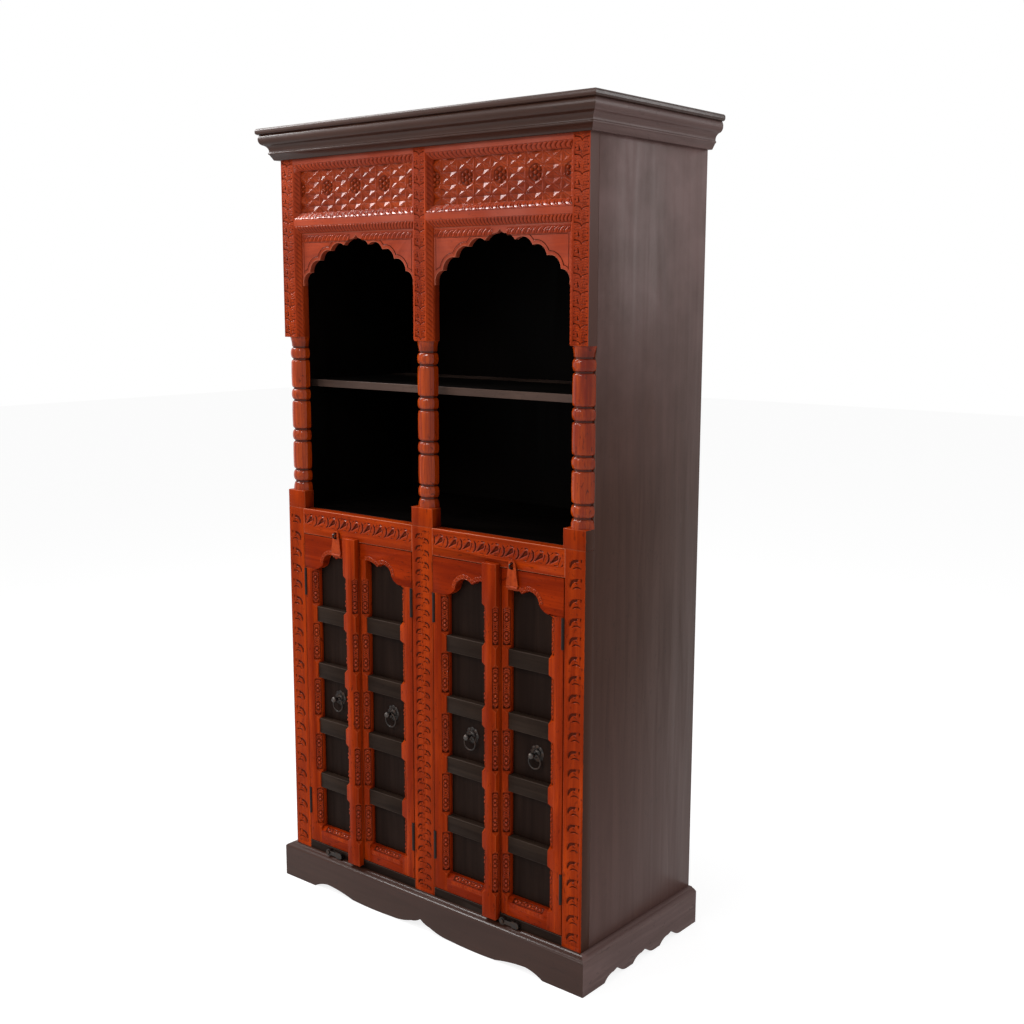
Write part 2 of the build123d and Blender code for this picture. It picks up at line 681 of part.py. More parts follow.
def hinge_heights():
    """Return the (low, high) pairs of a door's two hinges."""
    low = DOOR_BOTTOM + HINGE_END_MARGIN
    high = DOOR_SHOULDER - HINGE_TOP_MARGIN
    return (low, low + HINGE_HEIGHT), (high - HINGE_HEIGHT, high)


def knuckle_spans(z):
    """Return the height pairs of the frame, door and frame knuckles."""
    third = HINGE_HEIGHT / 3
    return (
        (z[0], z[0] + third - KNUCKLE_GAP),
        (z[0] + third, z[1] - third),
        (z[1] - third + KNUCKLE_GAP, z[1]),
    )


def fixed_hinge_leaf(z):
    """Return a frame-side hinge leaf with its pin, for a door hinged at local X = 0."""
    axis = (AXIS_INSET, DOOR_FRONT)
    low, middle, high = knuckle_spans(z)
    plate = span_box((-DOOR_SIDE_GAP, -DOOR_SIDE_GAP + LEAF_THICKNESS), (DOOR_FRONT, DOOR_FRONT + LEAF_DEPTH), z)
    room = (middle[0] - KNUCKLE_GAP, middle[1] + KNUCKLE_GAP)
    plate -= rod_z(axis, KNUCKLE_RADIUS + KNUCKLE_CLEARANCE, room)
    return plate + rod_z(axis, KNUCKLE_RADIUS, low) + rod_z(axis, KNUCKLE_RADIUS, high) + rod_z(axis, HINGE_PIN_RADIUS, z)


def door_hinge_leaf(z):
    """Return a door-side hinge leaf, for a door hinged at local X = 0."""
    axis = (AXIS_INSET, DOOR_FRONT)
    low, middle, high = knuckle_spans(z)
    plate = span_box((-LEAF_THICKNESS, 0), (DOOR_FRONT, DOOR_FRONT + LEAF_DEPTH), z)
    for span in (low, high):
        room = (span[0] - KNUCKLE_GAP, span[1] + KNUCKLE_GAP)
        plate -= rod_z(axis, KNUCKLE_RADIUS + KNUCKLE_CLEARANCE, room)
    leaf = plate + rod_z(axis, KNUCKLE_RADIUS, middle)
    return leaf - rod_z(axis, HINGE_PIN_RADIUS + PIN_FIT, z)


def pull_height():
    """Return the height of the ring pulls' eyes."""
    middle_panel = BOTTOM_RAIL_TOP + 2 * (LOW_PANEL_HEIGHT + CROSS_RAIL_HEIGHT) + LOW_PANEL_HEIGHT / 2
    return middle_panel + PULL_RISE


def pull_plate(x):
    """Return a pull's rose, eye and ball knob in one piece."""
    base = Cylinder(PLATE_RADIUS, PLATE_THICKNESS, align=(Align.CENTER, Align.CENTER, Align.MIN))
    base = fillet(base.edges().group_by(Axis.Z)[-1], PLATE_THICKNESS / 2)
    dome = Cone(DOME_RADIUS, EYE_RADIUS, DOME_HEIGHT, align=(Align.CENTER, Align.CENTER, Align.MIN))
    neck = Cylinder(NECK_RADIUS, BALL_HEIGHT, align=(Align.CENTER, Align.CENTER, Align.MIN))
    eye = rod_x((0, 0, EYE_HEIGHT), EYE_RADIUS, EYE_LENGTH)
    ball = Pos(0, 0, BALL_HEIGHT) * Sphere(BALL_RADIUS)
    hole = rod_x((0, 0, EYE_HEIGHT), EYE_HOLE_RADIUS, 2 * EYE_RADIUS)
    pull = base + dome + neck + eye + ball - hole
    return Pos(x, DOOR_FRONT + PANEL_RECESS, pull_height()) * Rot(90, 0, 0) * pull


def pull_ring(x):
    """Return the ring that hangs in a pull's eye."""
    y = DOOR_FRONT + PANEL_RECESS - EYE_HEIGHT
    return Pos(x, y, pull_height() - RING_RADIUS) * Rot(90, 0, 0) * Torus(RING_RADIUS, RING_WIRE_RADIUS)


def hasp_axis():
    """Return the depth and height of a hasp's pin."""
    return DOOR_FRONT - HASP_STAND_OFF, DOOR_TOP - HASP_FOOT_DROP


def hasp_strap(x):
    """Return a hasp: tapered strap with its slot, and the barrel at its foot."""
    y, z = hasp_axis()
    foot = z + HASP_KNUCKLE_RADIUS + KNUCKLE_GAP
    top = z + HASP_REACH
    half_foot = HASP_FOOT_WIDTH / 2
    half_end = HASP_END_WIDTH / 2
    edges = path_lines((x - half_end, top), (x - half_foot, foot), (x + half_foot, foot), (x + half_end, top))
    edges.append(ThreePointArc((x + half_end, top), (x, top + 1.2 * half_end), (x - half_end, top)))
    faces = (y - HASP_THICKNESS / 2, y + HASP_THICKNESS / 2)
    strap = front_prism(make_face(edges), faces)
    half_barrel = HASP_KNUCKLE_LENGTH / 2
    strap += span_box((x - half_barrel, x + half_barrel), faces, (z, foot))
    strap += rod_x((x, y, z), HASP_KNUCKLE_RADIUS, HASP_KNUCKLE_LENGTH)
    strap -= rod_x((x, y, z), HASP_PIN_RADIUS + PIN_FIT, HASP_KNUCKLE_LENGTH)
    slot_half = STAPLE_WIRE / 2 + STAPLE_PLAY_X
    slot_z = (top - STAPLE_SPAN / 2 - STAPLE_PLAY_Z, top + STAPLE_SPAN / 2 + STAPLE_PLAY_Z)
    return strap - span_box((x - slot_half, x + slot_half), faces, slot_z)


def hasp_foot(x):
    """Return the plate, side knuckles and pin that carry a hasp."""
    y, z = hasp_axis()
    half_barrel = HASP_KNUCKLE_LENGTH / 2 + KNUCKLE_GAP
    reach = half_barrel + HASP_SIDE_KNUCKLE
    wide = (x - reach, x + reach)
    plate = span_box(wide, (DOOR_FRONT - HASP_PLATE_THICKNESS, DOOR_FRONT), (z - HASP_PLATE_DROP, z))
    foot = plate + rod_x((x, y, z), HASP_PIN_RADIUS, 2 * reach)
    for side in (-1, 1):
        centre = x + side * (half_barrel + HASP_SIDE_KNUCKLE / 2)
        foot += rod_x((centre, y, z), HASP_KNUCKLE_RADIUS, HASP_SIDE_KNUCKLE)
        web_x = (centre - HASP_SIDE_KNUCKLE / 2, centre + HASP_SIDE_KNUCKLE / 2)
        foot += span_box(web_x, (y, DOOR_FRONT), (z - HASP_KNUCKLE_RADIUS, z))
    return foot


def button_height():
    """Return the height of the turn buttons' pins."""
    return PLINTH_HEIGHT + BUTTON_HEAD_RADIUS + PANEL_PLAY


def button_faces():
    """Return the depth pair of the turn buttons' faces."""
    return FRONT - BUTTON_STAND_OFF - BUTTON_THICKNESS, FRONT - BUTTON_STAND_OFF


def turn_button(x):
    """Return a turn button lying to the right of its pin."""
    z = button_height()
    y = button_faces()
    head = rod_y((x, y[0], z), BUTTON_HEAD_RADIUS, BUTTON_THICKNESS)
    tip_x = x + BUTTON_ARM - BUTTON_ARM_RADIUS
    arm = span_box((x, tip_x), y, (z - BUTTON_WAIST, z + BUTTON_WAIST))
    lobes = [
        rod_y((centre, y[0], z), BUTTON_ARM_RADIUS, BUTTON_THICKNESS) for centre in (tip_x - BUTTON_ARM_RADIUS, tip_x)
    ]
    return head + arm + lobes - rod_y((x, y[0], z), BUTTON_PIN_RADIUS + PIN_FIT, BUTTON_THICKNESS)


def button_pin(x):
    """Return the headed pin that a turn button swings on."""
    z = button_height()
    neck = button_faces()[0] - BUTTON_HEAD_GAP
    head = rod_y((x, neck - BUTTON_PIN_HEAD, z), BUTTON_PIN_HEAD_RADIUS, BUTTON_PIN_HEAD)
    head = fillet(head.edges().group_by(Axis.Y)[0], BUTTON_PIN_HEAD / 2)
    return head + rod_y((x, neck, z), BUTTON_PIN_RADIUS, FRONT + BUTTON_PIN_LENGTH - neck)


# ---- Door leaves, drawn with the hinge edge at X = 0 and the leaf towards +X ----
def panel_zones():
    """Return the height pairs of the five panel openings."""
    zones = []
    low = BOTTOM_RAIL_TOP
    for _ in range(CROSS_RAILS):
        zones.append((low, low + LOW_PANEL_HEIGHT))
        low += LOW_PANEL_HEIGHT + CROSS_RAIL_HEIGHT
    zones.append((low, DOOR_SHOULDER))
    return zones


def panel_groove(x, z):
    """Return the groove that takes the panels' edges."""
    y = DOOR_FRONT + PANEL_RECESS
    return span_box(x, (y - GROOVE_PLAY, y + PANEL_THICKNESS + GROOVE_PLAY), z)


def stile_chamfers(x, side, width, depth, y, top):
    """Return the stopped chamfers of one stile edge, one beside each panel."""
    cuts = []
    for low, high in panel_zones():
        high = min(high, top)
        cuts.append(edge_chamfer(x, side, y, width, depth, (low + CHAMFER_INSET, high - CHAMFER_INSET)))
    return cuts


def hinge_stile():
    """Return the stile that carries the hinges."""
    stile = span_box((0, HINGE_STILE_WIDTH), (DOOR_FRONT, DOOR_BACK), (DOOR_BOTTOM, DOOR_SHOULDER))
    reach = AXIS_INSET + KNUCKLE_RADIUS + NOTCH_CLEARANCE
    for z in hinge_heights():
        notch_z = (z[0] - KNUCKLE_CLEARANCE, z[1] + KNUCKLE_CLEARANCE)
        stile -= span_box((0, reach), (DOOR_FRONT, DOOR_FRONT + KNUCKLE_RADIUS + NOTCH_CLEARANCE), notch_z)
    for cut in stile_chamfers(
        HINGE_STILE_WIDTH, -1, DOOR_CHAMFER_WIDTH, DOOR_CHAMFER_DEPTH, DOOR_FRONT, DOOR_SHOULDER
    ):
        stile -= cut
    inner = (HINGE_STILE_WIDTH - PANEL_TONGUE - PANEL_PLAY, HINGE_STILE_WIDTH)
    return stile - panel_groove(inner, (DOOR_BOTTOM, DOOR_SHOULDER))


def meeting_stile(width, stile_width, plain):
    """Return the stile at the meeting line."""
    x = (width - stile_width, width)
    stile = span_box(x, (DOOR_FRONT, DOOR_BACK), (DOOR_BOTTOM, DOOR_MEETING_SHOULDER))
    if not plain:
        for cut in stile_chamfers(
            x[0], 1, DOOR_CHAMFER_WIDTH, DOOR_CHAMFER_DEPTH, DOOR_FRONT, DOOR_MEETING_SHOULDER
        ):
            stile -= cut
    groove_x = (x[0], x[0] + PANEL_TONGUE + PANEL_PLAY)
    return stile - panel_groove(groove_x, (DOOR_BOTTOM, DOOR_MEETING_SHOULDER))


def top_rail(width, stile_width):
    """Return the shaped top rail, which laps over both stiles."""
    inner = width - stile_width
    start = (HINGE_STILE_WIDTH, DOOR_SHOULDER)
    end = (inner, DOOR_MEETING_SHOULDER)
    crest = [start]
    for share, rise in (CREST_OGEE, CREST_CROWN, CREST_TIP):
        crest.append((start[0] + share * (end[0] - start[0]), start[1] + rise * (end[1] - start[1])))
    crest.append(end)
    edges = [arc(a, b, sag * math.dist(a, b)) for a, b, sag in zip(crest, crest[1:], CREST_SAGS)]
    edges += path_lines(end, (width, end[1]), (width, DOOR_TOP), (0, DOOR_TOP), (0, DOOR_SHOULDER), start)
    rail = front_prism(make_face(edges), (DOOR_FRONT, DOOR_BACK))
    top = DOOR_MEETING_SHOULDER + PANEL_TONGUE + PANEL_PLAY
    groove_x = (HINGE_STILE_WIDTH - PANEL_TONGUE - PANEL_PLAY, inner + PANEL_TONGUE + PANEL_PLAY)
    return rail - panel_groove(groove_x, (DOOR_SHOULDER, top))


def rail_between(width, stile_width, z, recess, grooves):
    """Return a rail with stub tongues in the stiles and grooves for the panels."""
    x = (HINGE_STILE_WIDTH, width - stile_width)
    rail = span_box(x, (DOOR_FRONT + recess, DOOR_FRONT + PANEL_RECESS + PANEL_THICKNESS), z)
    tongue_x = (x[0] - PANEL_TONGUE, x[1] + PANEL_TONGUE)
    y = DOOR_FRONT + PANEL_RECESS
    rail += span_box(tongue_x, (y, y + PANEL_THICKNESS), z)
    for low in grooves:
        rail -= panel_groove(tongue_x, (low, low + PANEL_TONGUE + PANEL_PLAY))
    return rail


def bottom_rail(width, stile_width):
    """Return the door's bottom rail with its chamfered upper edge."""
    z = (DOOR_BOTTOM, BOTTOM_RAIL_TOP)
    rail = rail_between(width, stile_width, z, 0, [z[1] - PANEL_TONGUE - PANEL_PLAY])
    section = polygon(
        (DOOR_FRONT, z[1]), (DOOR_FRONT, z[1] - RAIL_CHAMFER), (DOOR_FRONT + DOOR_CHAMFER_DEPTH, z[1])
    )
    return rail - run_prism(section, (HINGE_STILE_WIDTH, width - stile_width))


def cross_rails(width, stile_width):
    """Return the four cross rails between the panels."""
    rails = []
    for _, high in panel_zones()[:-1]:
        z = (high, high + CROSS_RAIL_HEIGHT)
        grooves = [z[0], z[1] - PANEL_TONGUE - PANEL_PLAY]
        rails.append(rail_between(width, stile_width, z, CROSS_RAIL_RECESS, grooves))
    return rails


def door_panels(width, stile_width):
    """Return the five panels, each with its edges in the grooves."""
    x = (HINGE_STILE_WIDTH - PANEL_TONGUE, width - stile_width + PANEL_TONGUE)
    y = (DOOR_FRONT + PANEL_RECESS, DOOR_FRONT + PANEL_RECESS + PANEL_THICKNESS)
    zones = panel_zones()
    panels = [span_box(x, y, (low - PANEL_TONGUE, high + PANEL_TONGUE)) for low, high in zones[:-1]]
    panels.append(span_box(x, y, (zones[-1][0] - PANEL_TONGUE, DOOR_MEETING_SHOULDER + PANEL_TONGUE)))
    return panels


def batten(width):
    """Return the cover strip at the meeting line, with stopped chamfers on both edges."""
    x = (width - BATTEN_WIDTH, width)
    y = (DOOR_FRONT - BATTEN_PROUD, DOOR_FRONT)
    strip = span_box(x, y, (DOOR_BOTTOM - BATTEN_OVER_BOTTOM, DOOR_TOP + BATTEN_OVER_TOP))
    for edge, side in ((x[0], 1), (x[1], -1)):
        for cut in stile_chamfers(edge, side, BATTEN_CHAMFER, BATTEN_CHAMFER, y[0], DOOR_MEETING_SHOULDER):
            strip -= cut
    return strip


def door_leaf(width, active):
    """Return one leaf's nodes, each a list of pieces, with the hinge edge at X = 0."""
    stile_width = BATTEN_WIDTH if active else PASSIVE_STILE_WIDTH
    leaf = {
        "stiles": [hinge_stile(), meeting_stile(width, stile_width, active)],
        "end_rails": [top_rail(width, stile_width), bottom_rail(width, stile_width)],
        "cross_rails": cross_rails(width, stile_width),
        "panels": door_panels(width, stile_width),
        "ironwork": [door_hinge_leaf(z) for z in hinge_heights()],
        "pull_plate": [pull_plate(width / 2)],
        "pull_ring": [pull_ring(width / 2)],
    }
    if active:
        leaf["batten"] = [batten(width)]
    return leaf


def leaf_places():
    """Return each leaf's hinge edge, side of travel, width and whether it has the batten."""
    places = {}
    for pair, (low, high) in zip(("left", "right"), LOWER_BAYS):
        active_width = high - low - PASSIVE_LEAF_WIDTH - DOOR_SIDE_GAP - MEETING_GAP / 2
        passive_width = PASSIVE_LEAF_WIDTH - DOOR_SIDE_GAP - MEETING_GAP / 2
        outer = "outer" if pair == "left" else "inner"
        other = "inner" if pair == "left" else "outer"
        places[f"{pair}_{outer}"] = (low + DOOR_SIDE_GAP, 1, active_width, True)
        places[f"{pair}_{other}"] = (high - DOOR_SIDE_GAP, -1, passive_width, False)
    return places


def placed(shape, edge, side):
    """Return a leaf's piece at its hinge edge, mirrored for a right-hand hinge."""
    if side < 0:
        shape = mirror(shape, about=Plane.YZ)
    return Pos(edge) * shape


def left_batten_edge():
    """Return the X of the left pair's batten edge, on the side of its own leaf."""
    edge, _, width, _ = leaf_places()["left_outer"]
    return edge + width - BATTEN_WIDTH


def hasp_places():
    """Return the X of each hasp: left of one batten, and on the leaf right of the other."""
    edge, _, width, _ = leaf_places()["right_outer"]
    half = HASP_FOOT_WIDTH / 2
    return {"left": left_batten_edge() - LEFT_HASP_GAP - half, "right": edge - width + RIGHT_HASP_GAP + half}


def button_places():
    """Return the X of each turn button's pin."""
    meeting = LOWER_BAYS[1][1] - PASSIVE_LEAF_WIDTH
    return {"left": left_batten_edge() - LEFT_BUTTON_GAP - BUTTON_ARM, "right": meeting + RIGHT_BUTTON_INSET}


# ---- The whole cabinet ----
def case_nodes():
    """Return the carcass, cornice, plinth and shelves."""
    cornice_front, cornice_right, cornice_left = mitred(cornice_section(), CORNICE_OVERHANG)
    plinth_front, plinth_right, plinth_left = plinth()
    return {
        "side_panel_left": [side_panel(-1)],
        "side_panel_right": [side_panel(1)],
        "back_panel": [span_box((-INNER_SIDE, INNER_SIDE), (INNER_BACK, BACK), (CASE_BOTTOM, CASE_TOP))],
        "top_board": [top_board()],
        "cornice_front": [cornice_front],
        "cornice_returns": [cornice_left, cornice_right],
        "plinth_front": [plinth_front],
        "plinth_returns": [plinth_left, plinth_right],
        "deck_board": [cupboard_board((DECK_TOP - BOARD_THICKNESS, DECK_TOP))],
        "bottom_board": [cupboard_board((THRESHOLD_TOP - BOARD_THICKNESS, THRESHOLD_TOP))],
        "upper_shelf": [shelf(SHELF_TOP)],
        "lower_shelf": [shelf(LOWER_SHELF_TOP)],
        "shelf_cleats": shelf_cleats(),
    }


def frame_nodes():
    """Return the posts, rails and boards of the front frame."""
    hasps = list(hasp_places().values())
    buttons = list(button_places().values())
    nodes = {f"upper_post_{name}": [upper_post(name)] for name in UPPER_POSTS}
    nodes.update({f"lower_post_{name}": [lower_post(name)] for name in LOWER_POSTS})
    sections = (top_rail_section(), mid_rail_section())
    nodes["frieze_rails"] = [frieze_rail(bay, section) for bay in UPPER_BAYS for section in sections]
    nodes["lattice_panels"] = [lattice_panel(bay) for bay in UPPER_BAYS]
    nodes["arch_boards"] = [arch_board(bay) for bay in UPPER_BAYS]
    nodes["head_rails"] = [head_rail(bay, x) for bay, x in zip(LOWER_BAYS, hasps)]
    nodes["threshold_rails"] = [threshold_rail(bay, x) for bay, x in zip(LOWER_BAYS, buttons)]
    nodes["staples_and_pins"] = [staple(x) for x in hasps] + [button_pin(x) for x in buttons]
    nodes["fixed_hinge_leaves"] = [
        placed(fixed_hinge_leaf(z), edge, side)
        for edge, side, _, _ in leaf_places().values()
        for z in hinge_heights()
    ]
    return nodes


def door_nodes():
    """Return the four leaves with their fittings."""
    nodes = {}
    for name, (edge, side, width, active) in leaf_places().items():
        for piece, shapes in door_leaf(width, active).items():
            nodes[f"{name}_{piece}"] = [placed(shape, edge, side) for shape in shapes]
    for pair, x in hasp_places().items():
        nodes[f"{pair}_outer_ironwork"].append(hasp_foot(x))
        nodes[f"{pair}_hasp"] = [hasp_strap(x)]
    for pair, x in button_places().items():
        nodes[f"{pair}_turn_button"] = [turn_button(x)]
    return nodes


def main():
    """Write one STEP file for each node."""
    os.makedirs("parts", exist_ok=True)
    nodes = {**case_nodes(), **frame_nodes(), **door_nodes()}
    for name, shapes in nodes.items():
        solids = [solid for shape in shapes for solid in shape.solids()]
        whole = solids[0] if len(solids) == 1 else Compound(solids)
        export_step(whole, f"parts/{name}.step")
        print(name, len(solids), round(sum(solid.volume for solid in solids)))
    print(len(nodes), "nodes")


main()
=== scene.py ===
"""Looks of a tall carved cabinet: open arched bays over two pairs of panelled doors.

Metres throughout, +Z up, the front towards -Y. Sizes given as fields are millimetres.
"""

import logging
import math
from dataclasses import dataclass, field, replace
from enum import Enum
from functools import partial
from typing import Callable, List, Optional, Sequence, Tuple, Union

import bmesh
import bpy
import numpy as np
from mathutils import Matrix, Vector


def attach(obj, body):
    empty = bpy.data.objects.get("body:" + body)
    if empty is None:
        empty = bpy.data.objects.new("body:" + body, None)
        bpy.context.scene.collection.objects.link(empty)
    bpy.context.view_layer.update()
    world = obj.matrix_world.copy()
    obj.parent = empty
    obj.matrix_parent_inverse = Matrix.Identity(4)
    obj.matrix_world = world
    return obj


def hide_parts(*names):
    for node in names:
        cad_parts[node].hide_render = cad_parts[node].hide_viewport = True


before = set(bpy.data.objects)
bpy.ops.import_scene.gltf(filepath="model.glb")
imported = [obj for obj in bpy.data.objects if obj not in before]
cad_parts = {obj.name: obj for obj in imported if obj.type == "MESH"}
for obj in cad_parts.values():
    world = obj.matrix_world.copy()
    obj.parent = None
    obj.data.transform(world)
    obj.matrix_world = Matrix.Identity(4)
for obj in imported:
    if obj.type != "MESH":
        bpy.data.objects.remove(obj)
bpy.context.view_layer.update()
MM = 0.001
MERGE_DISTANCE = 1e-5
CUT_DISTANCE = 1e-7
SMOOTH_ANGLE = math.radians(32)
EASED_ANGLE = math.radians(58)
FLAT_ANGLE = math.radians(0.3)
CASE_BODY = "cabinet"
WAX_SHADE, POLISH, WEAR_AND_HIGHLIGHT = "wax", "polish", "wear_and_highlight"
PAIRS = ("left", "right")
RIGHT, UP, FORWARD = Vector((1, 0, 0)), Vector((0, 0, 1)), Vector((0, -1, 0))
WHITE = (1.0, 1.0, 1.0)
STREAK_STRETCH = 0.35
LEVEL_SLACK = 0.05
STRAIGHT, SQUARE = 0.999, 0.001
THIN_BACK = 0.5
LEAST_CELLS = 6
NEAR_BLUR, FAR_BLUR, FAR_SHARE = 2, 4, 0.5
CREASE_SHADE, DEEP_SHADE_FROM, WAX_SHADE_LIMIT = 0.8, 0.8, 0.95
CREST_SHINE, SHINE_FROM = 0.9, 0.15
CHIP_HASH, HASH_GAIN = (12.9898, 78.233, 37.719), 43758.5453

Colour = Tuple[float, float, float]
Span = Tuple[float, float]
Point = Tuple[float, float]
Heights = Callable[[np.ndarray, np.ndarray], np.ndarray]
Reshape = Callable[[bmesh.types.BMesh], None]
Socket = bpy.types.NodeSocket

log = logging.getLogger("cabinet")


# ---------------------------------------------------------------- measures
@dataclass(frozen=True)
class CaseSizes:
    """Planes and levels of the case, in millimetres."""

    front: float = -199.0
    chamfer: float = 13.5
    column_foot: float = 1028.0
    column_head: float = 1408.0
    lattice: Span = (1705.0, 1803.0)
    mid_rail: Span = (1657.0, 1705.0)
    fillet: Span = (1674.5, 1687.5)
    top_slope: float = 1819.0
    arch_apex: float = 1650.0
    upper_bays: Tuple[Span, Span] = ((-408.5, -36.0), (28.0, 408.5))
    lower_bays: Tuple[Span, Span] = ((-411.5, -36.0), (28.0, 411.5))
    post_depth: float = 30.0

    @property
    def sunk(self) -> float:
        """The plane of the boards that stand back behind the chamfers."""
        return self.front + self.chamfer


CASE = CaseSizes()


# ---------------------------------------------------------------- mesh helpers
def point(x: float, y: float, z: float) -> Vector:
    """Return a place given in millimetres as metres."""
    return Vector((x, y, z)) * MM


def fresh() -> bmesh.types.BMesh:
    """Return an empty bmesh that carries the values of dark wax with painted shade, of polish, and of edge
    wear with a painted highlight.

    Returns:
        The bmesh.
    """
    bm = bmesh.new()
    bm.verts.layers.float.new(WAX_SHADE)
    bm.verts.layers.float.new(POLISH)
    bm.faces.layers.float.new(WEAR_AND_HIGHLIGHT)
    return bm


def absorb(target: bmesh.types.BMesh, other: bmesh.types.BMesh) -> None:
    """Add one bmesh to another and free it.

    Args:
        target: The mesh that grows.
        other: The mesh that is used up.
    """
    mesh = bpy.data.meshes.new("part")
    other.to_mesh(mesh)
    other.free()
    target.from_mesh(mesh)
    bpy.data.meshes.remove(mesh)


def place_piece(
    name: str,
    bm: bmesh.types.BMesh,
    finish: "Finish",
    body: str = CASE_BODY,
    instead_of: Sequence[str] = (),
) -> None:
    """Turn a bmesh into a finished piece that rides on a body.

    Args:
        name: The piece's name.
        bm: The mesh, in metres and in place. It is freed.
        finish: What the piece's surface looks like.
        body: The CAD body that it rides on.
        instead_of: The CAD nodes that it stands for.
    """
    mesh = bpy.data.meshes.new(name)
    bm.to_mesh(mesh)
    bm.free()
    mesh.polygons.foreach_set("use_smooth", [True] * len(mesh.polygons))
    mesh.set_sharp_from_angle(angle=SMOOTH_ANGLE)
    mesh.materials.append(finish.material())
    piece = bpy.data.objects.new(name, mesh)
    bpy.context.scene.collection.objects.link(piece)
    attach(piece, body)
    if instead_of:
        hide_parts(*instead_of)
    log.info("%s: %d faces, on %s", name, len(mesh.polygons), body)


def place_eased(
    name: str,
    node: str,
    finish: "Finish",
    ease: float,
    least: float,
    body: str = CASE_BODY,
    reshape: Optional[Reshape] = None,
    shallow: float = 3.0,
) -> None:
    """Place an eased copy of a CAD node as the piece that stands for it.

    Args:
        name: The piece's name.
        node: The CAD node's name.
        finish: What its surface looks like.
        ease: The width of its softened edges, in millimetres.
        least: Edges shorter than this stay sharp, in millimetres.
        body: The CAD body that it rides on.
        reshape: Works on the merged copy before its edges are softened.
        shallow: Edges of faces narrower than this stay sharp, in millimetres.
    """
    bm = eased_copy(node, ease, least, reshape=reshape, shallow=shallow)
    place_piece(name, bm, finish, body, [node])


def close_holes(bm: bmesh.types.BMesh) -> None:
    """Fill every open rim of a mesh."""
    bmesh.ops.holes_fill(bm, edges=[edge for edge in bm.edges if edge.is_boundary], sides=0)


def seal(bm: bmesh.types.BMesh) -> None:
    """Merge the doubles of a mesh and turn its faces outwards."""
    bmesh.ops.remove_doubles(bm, verts=bm.verts, dist=MERGE_DISTANCE)
    bmesh.ops.recalc_face_normals(bm, faces=bm.faces)


def flatten(bm: bmesh.types.BMesh) -> None:
    """Join the faces of a mesh that lie in one plane."""
    bmesh.ops.dissolve_limit(bm, angle_limit=FLAT_ANGLE, verts=bm.verts, edges=bm.edges)


def spin_round(bm: bmesh.types.BMesh, axis: Tuple[int, int, int], steps: int) -> None:
    """Spin all of a mesh once round an axis through the origin, and close it.

    Args:
        bm: The outline, in metres.
        axis: The way that the axis points.
        steps: How many steps go round.
    """
    bmesh.ops.spin(
        bm,
        geom=list(bm.verts) + list(bm.edges),
        cent=(0, 0, 0),
        axis=axis,
        dvec=(0, 0, 0),
        angle=math.tau,
        steps=steps,
        use_merge=True,
        use_duplicate=False,
    )
    seal(bm)


def eased_copy(
    node: str,
    ease: float = 0.9,
    least: float = 8.0,
    keep: Optional[Callable[[float, float], bool]] = None,
    reshape: Optional[Reshape] = None,
    shallow: float = 3.0,
) -> bmesh.types.BMesh:
    """Return a merged copy of a CAD node with its outer edges softened.

    Args:
        node: The CAD node's name.
        ease: The width of the softened edge, in millimetres; 0 leaves the edges sharp.
        least: Edges shorter than this stay sharp, in millimetres.
        keep: Tells from a face's lowest and highest point, in millimetres, if it stays.
        reshape: Works on the merged copy before its edges are softened.
        shallow: Edges of faces narrower than this stay sharp, in millimetres.

    Returns:
        The copy as a closed bmesh.
    """
    bm = fresh()
    bm.from_mesh(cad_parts[node].data)
    bmesh.ops.remove_doubles(bm, verts=bm.verts, dist=MERGE_DISTANCE)
    if keep:
        waste = []
        for face in bm.faces:
            heights = [vert.co.z / MM for vert in face.verts]
            if not keep(min(heights), max(heights)):
                waste.append(face)
        bmesh.ops.delete(bm, geom=waste, context="FACES")
        close_holes(bm)
    flatten(bm)
    if reshape:
        reshape(bm)
    if ease:
        soften(bm, ease, least, shallow)
    bmesh.ops.recalc_face_normals(bm, faces=bm.faces)
    return bm


def slice_corner(bm: bmesh.types.BMesh, top: float, corner: Point, side: int, cut: float) -> None:
    """Run a chamfer out through the foot of a post instead of stopping it.

    Args:
        bm: The post, in metres.
        top: The level that the cut starts from, in millimetres.
        corner: The (x, y) of the uncut corner.
        side: The side that the corner is on, 1 or -1.
        cut: The chamfer's width along both faces.
    """
    everything = bm.verts[:] + bm.edges[:] + bm.faces[:]
    bmesh.ops.bisect_plane(bm, geom=everything, dist=CUT_DISTANCE, plane_co=point(0, 0, top), plane_no=UP)
    reach = (top + 0.01) * MM
    low = [face for face in bm.faces if max(vert.co.z for vert in face.verts) < reach]
    rims = list({edge for face in low for edge in face.edges})
    corners = list({vert for face in low for vert in face.verts})
    bmesh.ops.bisect_plane(
        bm,
        geom=low + rims + corners,
        dist=CUT_DISTANCE,
        plane_co=point(corner[0], corner[1] + cut, 0.0),
        plane_no=Vector((side, -1.0, 0.0)).normalized(),
        clear_outer=True,
    )
    close_holes(bm)
    bmesh.ops.remove_doubles(bm, verts=bm.verts, dist=MERGE_DISTANCE)
    flatten(bm)


def soften(bm: bmesh.types.BMesh, ease: float, least: float, shallow: float) -> None:
    """Bevel the outer edges of a mesh and mark the new faces as worn edges that also take a painted
    highlight.

    Args:
        bm: The mesh to change.
        ease: The bevel's width, in millimetres.
        least: Edges shorter than this stay sharp, in millimetres.
        shallow: Edges of faces narrower than this stay sharp, in millimetres.
    """
    edges = [
        edge
        for edge in bm.edges
        if edge.is_manifold
        and edge.is_convex
        and edge.calc_face_angle(0.0) > EASED_ANGLE
        and edge.calc_length() > least * MM
        and min(face.calc_area() / edge.calc_length() for face in edge.link_faces) > shallow * MM
    ]
    made = bmesh.ops.bevel(
        bm,
        geom=edges,
        offset=ease * MM,
        offset_type="OFFSET",
        segments=2,
        profile=0.5,
        affect="EDGES",
        clamp_overlap=True,
        material=-1,
    )
    layer = bm.faces.layers.float[WEAR_AND_HIGHLIGHT]
    for face in made["faces"]:
        face[layer] = 1.0


